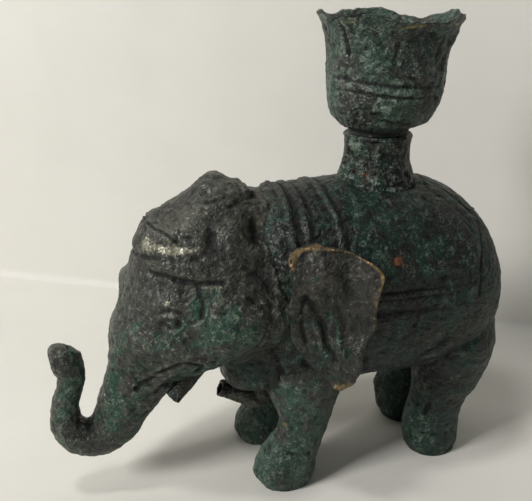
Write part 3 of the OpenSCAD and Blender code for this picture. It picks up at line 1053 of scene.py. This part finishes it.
    def build(self, finish: bpy.types.Material, torso: Torso) -> None:
        """Make the head and settle it."""
        skin = fused([self.skull_skin(), Skin.tube(self.trunk, 120, 72)], self.voxel).relaxed(6)
        skin = skin.pushed(sum(m.relief(skin) for m in self.lumps()))
        skin = torso.flared(skin.relaxed(2), 2.2, 3.6)
        skin = carve(skin, self.lines(), CastSkin(lumps=0.35, dimples=0.26, seed=21))
        z = skin.points[:, 2]
        # Painted highlight: bright brassy spots on the brow band, the eyelid, the lip and the trunk tip
        # where the light catches them, partly rubbed metal; the crown gets a little rubbed metal too.
        lit = [
            Stroke([(-44.5, -7, 86.7), (-38.2, -12.8, 86.9), (-31.5, -16.4, 86.6)], 2.0, 0.3),
            Stroke([(-44, -16, 69.8), (-42, -17, 71.4), (-40.3, -17.6, 72.7)], 1.2, 0.35),
            Dab((-36, -14, 87.5), (4, 3, 1.2), 0.3),
            Dab((-44.5, -6.5, 89.6), (2.2, 2.2, 2.4), 0.3),
            Dab((-38.5, -20.5, 57.5), (2, 3, 0.9), 0.4),
            Dab((-76.5, -1.5, 50.5), (1.4, 1.8, 1.5), 0.8, both_sides=False),
        ]
        low = ramp(z, 78, -14)
        cheek = Dab((-23, -25, 68), (9, 8, 9), 1).strength(skin)
        crown = ramp(z, 80, 8)
        masks = {
            "brass": sum(m.relief(skin) for m in lit) + 0.12 * crown,
            "verdigris": 0.45 * low + 0.6 * cheek - 0.7 * crown,
        }
        settle(make_piece("head_skin", skin, finish, masks), "elephant", "head")


@dataclass
class Ear:
    """One ear: a leaf with a rolled rim and two ribs on its outer face.

    Its section at a height is a lens between the front and back edges, whose middle line stands
    further out towards the back as the power 1.3 of the way there.
    """

    side: Side
    thickness: float = 2.8
    rows: Rows = (
        (44.8, 6, 8, 28, 30), (48.5, 3, 10.8, 27, 32.5), (54, -1.5, 11.8, 25.5, 34.5),
        (60, -5, 13.2, 25.2, 35.5), (66, -6, 17.2, 24.8, 36), (74, -7.5, 18, 24.5, 36.5),
        (82, -10, 20.8, 23, 37), (86.5, -10.5, 18.5, 21, 35), (90, -7.5, 12.5, 19.5, 31),
        (91.8, -3, 6, 20.5, 27),
    )

    def shape(self) -> Skin:
        """The bare leaf, dished between its rim and its middle."""
        t = np.linspace(0, 1, 150)
        z, front, back, out_front, out_back = (c[:, None] for c in spline(self.rows, t).T)
        angle = angles(190)[None, :]
        u = 0.5 + 0.5 * np.cos(angle)
        thick = self.thickness / 2 * signed_power(np.sin(angle), 0.7)
        sunk = 1.1 * (np.sin(np.pi * u) * np.sin(np.pi * t[:, None])) ** 0.8 * (u > 0.02)
        out = out_front + (out_back - out_front) * u**1.3 - sunk
        rings = stacked(front + (back - front) * u, self.side.value * out + thick, z)
        return Skin.over_rings(rings).relaxed(2)

    def rim(self) -> Stroke:
        """Line of the ear's top and back edge."""
        return Stroke(
            [
                (-9.6, -21.9, 84), (-7.3, -20, 89.2), (-1, -21.8, 91.8), (5, -27, 91.6),
                (12.5, -31.3, 90), (18.3, -35.2, 86.5), (20.4, -37, 82), (17.8, -36.6, 74),
                (17, -36, 66), (13.1, -35.6, 60), (11.6, -34.6, 54), (10.6, -32.6, 48.5),
                (7.6, -29.8, 45),
            ],
            1.4,
            0.65,
        )

    def marks(self) -> list[Stroke | Dab]:
        """Rolled rim, ribs, folds and hollows of the outer face."""
        return [
            self.rim(),
            Stroke([(-2.4, -27, 77), (-1.4, -27.6, 75), (2, -29.2, 72.1), (5.3, -30.6, 66.8),
                (6.9, -31.8, 62), (7.9, -32.4, 56)], 0.9, 0.85),
            Stroke([(-3.8, -27, 75), (-0.6, -28, 70.5), (2.2, -29, 66), (4.4, -30, 60),
                (5.4, -30, 54)], 1.0, -0.75),
            Stroke([(-1.5, -28, 69), (0.1, -28.1, 66.3), (2.2, -29.5, 61.8), (3, -29.1, 54.3)], 0.9, 0.7),
            Stroke([(-3.5, -26.7, 73.3), (-2.5, -27, 63.5), (-1.2, -26.9, 56.6)], 0.9, -0.6),
            Stroke([(3, -28.5, 83), (9, -32, 78), (11.5, -33.5, 69), (10.5, -33.5, 60)], 2.4, -0.35),
            Stroke([(-5, -24, 80), (0, -26.5, 81.5), (5, -29.5, 80.5)], 1.3, 0.35),
            Dab((4.6, -29.7, 49.5), (1.6, 4, 4), -0.5),
            Dab((16.9, -36, 70), (1.6, 4, 2.4), -0.5),
        ]

    def narrowed(self, points: Array) -> Array:
        """The ear's points drawn in towards its middle line above the tip, its top lowered and
        its front edge and its tip moved outwards."""
        x, y, z = points.T
        front = ramp(z, 66, 12) * ramp(x, 9, -9)
        low = ramp(z, 62, -10)
        y = y + self.side.value * (3.2 * front + 2.3 * low)
        behind = x > 5.4
        high = np.where(behind, ramp(z, 50, 30), ramp(z, 70, 12))
        x = 5.4 + 1.4 * high + (x - 5.4) * (1 - np.where(behind, 0.3, 0.2) * high)
        return np.stack([x, y, z - 3.5 * ramp(z, 80, 12)], axis=1)

    def build(self, finish: bpy.types.Material, torso: Torso) -> None:
        """Make the ear and settle it."""
        name = f"{self.side.name.lower()}_ear"
        skin = torso.flared(self.shape(), 0.5, 1.5)
        skin = carve(skin, self.marks(), CastSkin(lumps=0.3, dimples=0.13, seed=33 + self.side.value))
        z = skin.points[:, 2]
        rim = Stroke(self.rim().line, 1.0, 1).strength(skin) * np.clip((z - 50) / 35, 0.35, 1)
        tip = Dab((8, -30, 45.5), (3, 6, 3), 1).strength(skin)
        ribs = Stroke([(3.3, -29.6, 69.5), (5.6, -30.9, 65.5), (7.1, -32, 60.5)], 0.6, 1).strength(skin)
        skin.points = self.narrowed(skin.points)
        masks = {"brass": 0.6 * rim + 0.35 * tip, "verdigris": 1.3 * ribs + 0.4 * ramp(z, 72, -12)}
        settle(make_piece(name + "_leaf", skin, finish, masks), "elephant", name)


@dataclass
class Tusk:
    """One short tusk, broken off square at its end."""

    side: Side

    def build(self, finish: bpy.types.Material) -> None:
        """Make the tusk and settle it."""
        name = f"{self.side.name.lower()}_tusk"
        s = self.side.value
        rows = [(-29.5, 10, 48.6, 2.6), (-33, 11, 44.8, 2.6), (-36.4, 11.6, 41.2, 2.5),
            (-39.7, 12, 37.8, 2.4)]
        skin = Skin.tube([(x, y * s, z, radius) for x, y, z, radius in rows], 60, 56)
        skin = skin.relaxed(1).pushed(CastSkin(lumps=0.18, dimples=0.1, seed=44 + s).relief(skin.points))
        settle(make_piece(name + "_stub", skin, finish), "elephant", name)


# ---------------------------------------------------------------------------------------
# Limbs and tail
# ---------------------------------------------------------------------------------------


# Height in mm under which a leg's points are pressed flat on the floor.
SOLE_DEPTH = 0.02


@dataclass
class Leg:
    """One leg: ellipses carried up a crooked axis, on a flat sole.

    A row gives the middle of an ellipse from the foot, forwards and outwards, its height and
    its half length and half width.
    """

    name: str
    side: Side
    foot: tuple[float, float]
    rows: list[tuple[float, ...]]
    own_marks: list[Stroke | Dab]
    seed: int

    def shape(self) -> Skin:
        """The bare leg."""
        row = spline(self.rows, np.linspace(0, 1, 130))
        angle = angles(150)
        x = self.foot[0] + row[:, 0, None] + row[:, 3, None] * np.cos(angle)
        y = self.side.value * (self.foot[1] + row[:, 1, None]) + row[:, 4, None] * np.sin(angle)
        return Skin.over_rings(stacked(x, y, row[:, 2, None]))

    def toenails(self) -> list[Dab]:
        """Three nails round the front of the foot, each a flat lump."""
        x, y = self.foot[0], self.side.value * self.foot[1]
        turns = [math.radians(turn) for turn in (140, 180, 220)]
        centres = [(x + 10.3 * math.cos(turn), y + 8.9 * math.sin(turn), 4.2) for turn in turns]
        return [Dab(centre, (2.2, 2.2, 2.8), 0.55, both_sides=False) for centre in centres]

    def build(self, finish: bpy.types.Material, torso: Torso) -> None:
        """Make the leg and settle it."""
        skin = torso.flared(self.shape(), 2.0, 5.5)
        cast = CastSkin(lumps=0.4, dimples=0.22, grit=0.07, seed=self.seed)
        skin = carve(skin, [*self.toenails(), *self.own_marks], cast)
        z = skin.points[:, 2]
        z[self.shape().points[:, 2] < SOLE_DEPTH] = 0
        z[z < 0] = 0
        golden = Dab((-5.4, -19, 23.6), (1.8, 4, 3), 1).strength(skin)
        masks = {"brass": 0.62 * golden, "verdigris": 0.3 + 0.7 * ramp(z, 34, -20)}
        settle(make_piece(self.name + "_skin", skin, finish, masks), "elephant", self.name)


def four_legs() -> list[Leg]:
    """The legs, the front pair leaning forwards to its feet and the hind pair upright."""
    front = [
        (0, 0, 0, 8.5, 8), (0, 0, 3.5, 10.3, 8.8), (0.8, 0, 9, 10.1, 8.6), (4.0, 0, 15, 8.7, 8.2),
        (6.7, 0, 22, 8.4, 8.4), (6.8, 0.3, 30, 10.3, 9.2), (6.5, 0.5, 40, 12.5, 9), (6, 1, 50, 11, 8),
    ]
    hind = [
        (0.3, 0, 0, 8.7, 8.1), (0, 0, 3.5, 9.9, 9), (-0.7, 0, 9, 10.3, 9.2), (-0.3, 0.3, 15, 9.8, 8.9),
        (1, 0.8, 21.5, 9.9, 9), (3.3, 2, 30, 11.5, 10.3), (5, 3.2, 40, 12.3, 11), (5.4, 3, 50, 12, 10),
        (5, 2.6, 60, 10, 8.5),
    ]
    front_marks = [
        Stroke([(-9.5, -16, 34), (-7.5, -17, 28), (-5.5, -17, 22)], 1.3, 0.5),
        Dab((-8, -17, 37), (4, 6, 4), -1.2),
        Stroke([(-8, -19, 13.5), (-3, -21.3, 14.5), (3, -21.2, 14)], 1.0, -0.35),
        Dab((1, -22, 36), (5, 4, 6), 0.5),
    ]
    hind_marks = [
        Stroke([(47, -18, 33), (45.5, -15.6, 25), (44.2, -13.4, 17.3), (42.7, -12, 8)], 1.7, 0.9),
        Stroke([(49.6, -19.4, 32), (48, -18.6, 25), (46.6, -17.4, 18)], 0.9, -0.9),
        Stroke([(45.5, -18.2, 10.5), (51, -19.8, 9.8), (58, -19.4, 10.4)], 1.1, -0.3),
        Dab((46.3, -16, 28), (1.3, 2, 1.8), 0.8),
        Dab((44.4, -14, 20.5), (1.3, 2, 1.5), -0.9),
        Dab((43.4, -13, 14), (1.6, 2, 1.6), 0.8),
        Dab((64, -18, 17), (2, 4, 2), 0.5),
    ]
    legs = []
    for number, side in enumerate(Side):
        word = side.name.lower()
        legs.append(Leg(f"{word}_front_leg", side, (-3, 13), front, front_marks, 51 + 10 * number))
        legs.append(Leg(f"{word}_hind_leg", side, (53.5, 10.8), hind, hind_marks, 52 + 10 * number))
    return legs


@dataclass
class Tail:
    """Tail lying on the rump, with a tuft at its end."""

    rows: Rows = (
        (67, 1, 84, 2.5), (73.2, 1, 75, 2.4), (75.2, 1, 64, 2.1), (75, 1, 53, 2),
        (73.2, 1, 45, 2.5), (70.8, 1, 39.5, 1.2),
    )

    def build(self, finish: bpy.types.Material, torso: Torso) -> None:
        """Make the tail, its tuft cut by strands that wind round it, and settle it."""
        skin = torso.flared(Skin.tube(self.rows, 220, 64), 0.8, 1.2)
        x, y, z = skin.points.T
        turn = np.arctan2(y - 1, x - 74)
        strands = 0.22 * np.cos(7 * turn + z / 2.5) * ramp(z, 50, -4)
        rings = 0.12 * np.cos(2 * np.pi * z / 2.6) * ramp(z, 48, 4)
        cast = CastSkin(lumps=0.2, dimples=0.12, seed=71).relief(skin.points)
        skin = skin.pushed(strands + rings + cast)
        settle(make_piece("tail_skin", skin, finish), "elephant", "tail")


@dataclass
class ChestLug:
    """Stub of a casting tube under the chest, open at its front end."""

    rows: Rows = (
        (-22.6, -2, 32.2, 2.7), (-17, -2, 29.2, 2.9), (-11.5, -2, 26.4, 3.2), (-8.5, -2, 27.3, 3.4),
        (-7, -2, 35, 4),
    )
    bore: float = 1.6
    depth: float = 3.0

    def build(self, finish: bpy.types.Material, torso: Torso) -> None:
        """Make the lug and settle it.

        Its front is cut off behind the bore, and an end piece with the bore is fused to it.
        """
        skin = Skin.tube(self.rows, 110, 72)
        start, ahead = (np.array(self.rows[k][:3], float) for k in (0, 1))
        run = (ahead - start) / np.linalg.norm(ahead - start)
        circle = self.circle(run, 72)
        rings = np.stack([start + run * back + radius * circle for radius, back in self.mouth()])
        body = self.cut(torso.flared(skin, 1.2, 2.0), start, run)
        skin = fused([body, Skin.over_rings(rings)], 0.3).relaxed(2)
        skin = skin.pushed(CastSkin(lumps=0.25, dimples=0.2, seed=81).relief(skin.points))
        settle(make_piece("chest_lug_skin", skin, finish), "elephant", "chest_lug")

    def mouth(self) -> list[tuple[float, float]]:
        """Radius and distance back of the rings of the open end, from the wall into the bore."""
        lip = [(2.6, 3.6), (2.8, 2.0), (2.8, 0.6), (2.4, 0.0), (1.9, 0.1)]
        return [*lip, (self.bore, 0.5), (self.bore, self.depth)]

    def circle(self, run: Array, around: int) -> Array:
        """Unit circle square to a direction."""
        side = np.array([0.0, 1.0, 0.0])
        over = np.cross(run, side)
        angle = angles(around)[:, None]
        return -np.cos(angle) * side + np.sin(angle) * over

    def cut(self, skin: Skin, start: Array, run: Array) -> Skin:
        """The tube with what is in front of the bore's end drawn back behind it."""
        points = skin.points.copy()
        along = (points - start) @ run
        points += np.clip(self.depth + 0.3 - along, 0, None)[:, None] * run
        return Skin(points, skin.tris)


# ---------------------------------------------------------------------------------------
# Stem and cup
# ---------------------------------------------------------------------------------------


@dataclass
class Stem:
    """Hollow stem on the back, turned from a profile of radius and height."""

    x: float = 31
    around: int = 260
    outer: Rows = (
        (12.6, 96), (12.4, 99), (11.3, 103), (10.4, 107), (10.4, 112.3), (10.7, 113.7),
        (10.1, 114.5),
    )
    socket: Rows = (
        (8.6, 114.5), (7.75, 114.1), (7.7, 110), (7.7, 101.7), (2, 101.5),
    )

    def build(self, finish: bpy.types.Material, torso: Torso) -> None:
        """Make the stem, lumpy outside and round in its socket, and settle it."""
        outer, inner = spline(self.outer, np.linspace(0, 1, 90)), spline(self.socket, np.linspace(0, 1, 50))
        inner[:, 0] = np.minimum(inner[:, 0], self.socket[0][0])
        skin = Skin.over_rings(lathe(self.x, np.concatenate([outer, inner]), self.around))
        x, y, z = skin.points.T
        outside = ramp(np.hypot(x - self.x, y), 8.8, 1.0) * ramp(z, 114.6, -1.2)
        turn = np.arctan2(y, x - self.x)
        streaks = 0.22 * np.sin(9 * turn + 1.5 * np.sin(3 * turn)) * ramp(z, 112, -8)
        marks = one_sided(
            Dab((37.6, -9.5, 102.7), (1.6, 2, 1.4), -0.9),
            Dab((21.6, -4, 111.6), (2.0, 2.4, 2.2), 0.35),
            Dab((26, -9.6, 113), (2.2, 2, 0.9), -0.5),
            Stroke([(21, -6, 108.6), (25, -9.4, 108.2), (30, -10.6, 108.8), (36, -9.4, 108)], 0.7, -0.3),
        )
        marks.append(Stroke([(19, -5, 100.4), (24, -10.6, 100.8), (31, -12.4, 100.6),
            (38, -10.6, 100.4)], 0.9, -0.4))
        cast = CastSkin(lumps=0.4, dimples=0.28, grit=0.08, seed=91).relief(skin.points)
        skin = skin.pushed(outside * (cast + streaks + sum(m.relief(skin) for m in marks)))
        green = Dab((21.6, -4.2, 111.8), (1.8, 2.8, 2.4), 1, both_sides=False).strength(skin)
        gold = Dab((23.3, -8.6, 103.4), (1.2, 1.6, 0.9), 1, both_sides=False).strength(skin)
        masks = {"brass": 0.75 * gold, "verdigris": 0.2 + 2.6 * green}
        settle(make_piece("stem_skin", skin, finish, masks), "elephant", "stem")


@dataclass
class Cup:
    """Open cup with a torn, petalled rim, leaning back a little, on a round tenon.

    A ring at t, from the foot at 0 to the rim at 1, has the profile's radius and height. As
    t^5 grows, waves of five and three petals push the rim out, and these, eleven finer ones
    and the tears change its height.
    """

    x: float = 31
    lean: float = 2.4
    wall: float = 1.9
    wave: float = 0.8
    tenon: float = 7.42
    around: int = 290
    profile: Rows = (
        (9.2, 114.75), (9.7, 116.15), (12, 117.25), (15.4, 120.05), (17.3, 124.05), (18, 128.75),
        (18.1, 136.5), (18.7, 141.5), (20.1, 146), (21.9, 149.5),
    )

    def rings(self, t: Array, inset: Array) -> Array:
        """Rings of the cup.

        Args:
            t: Place of each ring, from foot to rim.
            inset: How far each is drawn in from the outer wall.

        Returns:
            Array of shape (rings, points in a ring, 3).
        """
        radius, height = (c[:, None] for c in spline(self.profile, t).T)
        t, inset = t[:, None], inset[:, None]
        angle = angles(self.around)
        late = t**5
        petal = np.sin(5 * angle + math.radians(40)) + 0.5 * np.sin(3 * angle + math.radians(100))
        r = radius - inset + 0.7 * late * petal
        rise = self.wave * late * (petal + 0.4 * np.sin(11 * angle)) + late * self.tears(angle)
        return stacked(self.x + r * np.cos(angle) + self.lean * t, r * np.sin(angle), height + rise)

    def tears(self, angle: Array) -> Array:
        """Height of the torn edge: small steps of a few lengths, and four deeper bites."""
        steps = 0.2 * np.tanh(3 * np.sin(13 * angle + 1.3 * np.sin(4 * angle)))
        steps += 0.12 * np.tanh(3 * np.sin(29 * angle + 2.1 * np.sin(7 * angle)))
        bites = ((0.3, 0.35, 1.0), (0.64, 0.16, 1.5), (2.25, 0.2, 0.4), (4.9, 0.25, 0.9))
        return steps + sum(-depth * bell(wrapped(angle - where), width) for where, width, depth in bites)

    def build(self, finish: bpy.types.Material) -> None:
        """Make the cup with its tenon and settle it."""
        out_t, in_t = np.linspace(0, 1, 170), np.linspace(1, 0.36, 110)
        inner_inset = self.wall * ramp(in_t, 1.012, -0.06) ** 0.6 * (0.6 + 0.4 * (1 - in_t))
        bowl = np.concatenate([self.rings(out_t, 0 * out_t), self.rings(in_t, inner_inset + 0.25)])
        skin = Skin.over_rings(self.on_tenon(bowl))
        cast = CastSkin(lumps=0.5, dimples=0.26, grit=0.1, pits=0.28, seed=103).relief(skin.points)
        cast *= np.clip((151 - skin.points[:, 2]) / 6, 0.3, 1)
        marks = sum(m.relief(skin) for m in self.marks()) + self.grooves(skin)
        above = ramp(skin.points[:, 2], 114.9, 1.2)
        skin = skin.pushed(above * (cast + marks))
        edge = Stroke([(13, -9, 148), (20, -18, 147.6), (28, -21.5, 146.4), (37, -21, 147.3),
            (45, -17, 147.6), (50.5, -8, 148)], 0.9, 1, both_sides=False)
        rim = edge.strength(skin) * (0.5 + 0.5 * lattice_noise(skin.points, 5, 9))
        # Painted shade: the hollow mask is raised in a band round the foot of the bowl, so that the gap
        # between cup and stem looks dark as if in shadow.
        foot = bell(skin.points[:, 2] - 115.8, 1.7)
        masks = {
            "hollow": skin.hollows() + foot,
            "brass": 0.62 * rim,
            "verdigris": 0.25 + 0.35 * lattice_noise(skin.points, 9, 12),
        }
        settle(make_piece("cup_skin", skin, finish, masks), "cup", "cup")

    def on_tenon(self, bowl: Array) -> Array:
        """Rings of the cup with those of its tenon in front of them."""
        round_part = [(self.tenon, z) for z in (102.4, 108, 114.55)]
        profile = [(7.1, 102), *round_part, (7.6, 114.7)]
        row = spline(profile, np.linspace(0, 1, 40))
        row[:, 0] = np.minimum(row[:, 0], self.tenon)
        return np.concatenate([lathe(self.x, row, self.around), bowl])

    def grooves(self, skin: Skin) -> Array:
        """Height of two grooves round the lower bowl, with a raised hem between them and a
        swelling below, all deepest on the left side."""
        x, y, z = skin.points.T
        outside = np.hypot(x - self.x - 1, y) > 16.4
        turn = np.arctan2(y, x - self.x)
        left = 0.12 + 0.88 * bell(wrapped(turn + 2.0), 0.6)
        down = z - 130.0 + 1.2 * (turn + 2.0) * (np.abs(turn + 2.0) < 1.2)
        return outside * left * (
            -0.75 * bell(down - 1.4, 0.45)
            - 0.8 * bell(down + 1.6, 0.5)
            + 0.2 * bell(down, 1.1)
            + 0.25 * bell(down + 4.2, 1.6)
        )

    def marks(self) -> list[Stroke | Dab]:
        """Dents, the crack under the rim, a blow hole and the fold down the right side."""
        return one_sided(
            Stroke([(14.2, -7.3, 146.3), (15.1, -7.8, 143), (15.6, -8, 139.9)], 0.75, -1.4),
            Dab((23.2, -14.6, 122.4), (1.5, 2, 1.1), -1.3),
            Stroke([(14, -11, 146), (22, -17, 143.6), (31, -19.5, 143.4), (38, -18.5, 144)], 1.6, -0.7),
            Stroke([(48.5, -12, 145), (45.5, -14, 139), (43.5, -14.5, 131), (43, -13.4, 124)], 1.2, 0.8),
            Stroke([(41, -17, 142), (39, -17.6, 134), (38.5, -16.5, 126)], 2.2, -0.6),
            Stroke([(27, -18.6, 142), (26.4, -18.4, 137), (28.6, -18.6, 133)], 0.9, -0.6),
            Dab((30, -18.5, 137), (2.2, 3, 2.6), -0.5),
            Dab((19.5, -14.5, 137.5), (3.5, 3, 2.6), 0.5),
            Dab((31, 19.5, 139), (5, 4, 5), -0.7),
            Dab((50, 4, 134), (4, 5, 5), -0.6),
            Stroke([(20, -12, 120.4), (27, -15, 119.6), (34, -15, 119.8)], 1.1, -0.6),
        )


# ---------------------------------------------------------------------------------------
# Studio
# ---------------------------------------------------------------------------------------


@dataclass
class Studio:
    """Pale floor and wall, soft lights, and the camera in front of the left side."""

    eye: tuple[float, float, float] = (-67.7, -203.0, 164.0)
    heading: float = -17.0
    pitch: float = 21.9
    lens: float = 48.72
    wall_point: tuple[float, float] = (-39.7, 159.5)
    wall_turn: float = -30.4
    cove: float = 4.0

    def paper(self) -> bpy.types.Material:
        """Matt off-white paper with a faint mottle, which a camera behind it sees through."""
        material, bench, shader, place = blank_material("paper")
        tone = bench.step(bench.noise(place, 60, 3), 0.3, 0.7)
        colour = bench.mix(tone, (0.67, 0.66, 0.615, 1), (0.7, 0.69, 0.645, 1))
        bench.feed(shader, {"Base Color": colour, "Roughness": 0.9})
        behind = bench.add("ShaderNodeNewGeometry").outputs["Backfacing"]
        seen = bench.add("ShaderNodeLightPath").outputs["Is Camera Ray"]
        clear = bench.add("ShaderNodeBsdfTransparent").outputs["BSDF"]
        shares = {0: bench.product(behind, seen), 1: shader.outputs["BSDF"], 2: clear}
        surface = bench.add("ShaderNodeMixShader", shares).outputs["Shader"]
        bench.feed(material.node_tree.nodes["Material Output"], {"Surface": surface})
        return material

    def backdrop(self) -> None:
        """Floor that meets an upright wall in a small cove, as one sheet.

        Across the sheet the section is a straight floor, a quarter circle and a straight wall.
        """
        cove, arc = self.cove, np.linspace(0, np.pi / 2, 9)
        floor = np.concatenate([[-900], np.linspace(-600, -cove, 12)])
        across = np.concatenate([floor, -cove + cove * np.sin(arc[1:]), [0, 0]])
        up = np.concatenate([0 * floor, cove - cove * np.cos(arc[1:]), [300, 900]])
        along = np.linspace(-1200, 1200, 25)[:, None]
        turn = math.radians(self.wall_turn)
        x = self.wall_point[0] + along * math.cos(turn) - across * math.sin(turn)
        y = self.wall_point[1] + along * math.sin(turn) + across * math.cos(turn)
        points = stacked(x, y, up)
        rows, columns = points.shape[:2]
        i, j = np.meshgrid(np.arange(rows - 1), np.arange(columns - 1), indexing="ij")
        a = (i * columns + j).ravel()
        quads = np.stack([a, a + columns, a + columns + 1, a + 1], axis=1)
        mesh = smooth_mesh("backdrop", points.reshape(-1, 3), quads, self.paper())
        new_object("backdrop", mesh)

    def light(
        self, name: str, place: Sequence[float], size: float, power: float, tint: Sequence[float]
    ) -> None:
        """Square soft light turned towards the elephant.

        Args:
            name: Its name.
            place: Where it stands, in metres.
            size: Its width in metres.
            power: Its power in watts.
            tint: Its colour.
        """
        lamp = bpy.data.lights.new(name, "AREA")
        lamp.size, lamp.energy, lamp.color = size, power, tint
        stand = new_object(name, lamp)
        stand.location = place
        aim = -np.array(place) + np.array([0.0, 0.0, 0.06])
        stand.rotation_euler = (
            math.atan2(math.hypot(aim[0], aim[1]), -aim[2]),
            0,
            math.atan2(aim[1], aim[0]) - math.pi / 2,
        )

    def build(self) -> None:
        """Set the floor, the lights, the sky and the camera."""
        self.backdrop()
        self.light("window", (-0.86, -0.25, 0.62), 0.28, 9.6, (1.0, 0.98, 0.95))
        self.light("lamp", (0.42, 0.2, 0.95), 0.16, 3.7, (1.0, 0.97, 0.93))
        self.light("ceiling", (-0.3, -0.1, 1.1), 0.12, 2.7, (1.0, 0.98, 0.95))
        world = bpy.data.worlds.new("room")
        world.use_nodes = True
        sky = world.node_tree.nodes["Background"]
        bench = Bench(world.node_tree)
        seen = bench.add("ShaderNodeLightPath").outputs["Is Camera Ray"]
        strength = bench.sum(0.12, bench.product(seen, 0.5))
        bench.feed(sky, {"Color": (0.93, 0.96, 1.0, 1), "Strength": strength})
        bpy.context.scene.world = world
        bpy.context.scene.view_settings.view_transform = "Standard"
        lens = bpy.data.cameras.new("camera")
        lens.sensor_fit, lens.sensor_width, lens.lens = "HORIZONTAL", 36, self.lens
        lens.clip_start = 0.01
        camera = new_object("camera", lens)
        camera.location = [v * MM for v in self.eye]
        camera.rotation_euler = (math.radians(90 - self.pitch), 0, math.radians(self.heading))
        bpy.context.scene.camera = camera


def dress_nodes(nodes: dict[str, bpy.types.Object], finishes: dict[str, bpy.types.Material]) -> None:
    """Give nodes that stay as they are their finish.

    Args:
        nodes: The frame's nodes by name.
        finishes: Material for each node's name.
    """
    for name, finish in finishes.items():
        for holder in nodes[name].material_slots:
            holder.material = finish
        LOG.info("%s: dressed in %s", name, finish.name)


def main() -> None:
    """Build the elephant round its frame, then the studio."""
    logging.basicConfig(level=logging.INFO, format="%(name)s: %(message)s")
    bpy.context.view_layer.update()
    group = patina_group()
    flank, head, leg, hind, ear, tusk, stem, cup = (
        finish.material(group) for finish in (FLANK, HEAD, LEG, DARK_SHADED_HIND, EAR, TUSK, STEM, CUP)
    )
    torso = Torso()
    torso.build(flank)
    Head().build(head, torso)
    for side in Side:
        Ear(side).build(ear, torso)
        Tusk(side).build(tusk)
    for limb in four_legs():
        limb.build(hind if "hind" in limb.name else leg, torso)
    Tail().build(hind, torso)
    ChestLug().build(head, torso)
    Stem().build(stem, torso)
    Cup().build(cup)
    finishes = {
        "belly_plate": flank,
        "belly_rivets": tusk,
        "casting_core": CLAY.material(),
        "chaplets": RUST.material(),
    }
    dress_nodes(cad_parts, finishes)
    Studio().build()


if __name__ == "__main__":
    main()
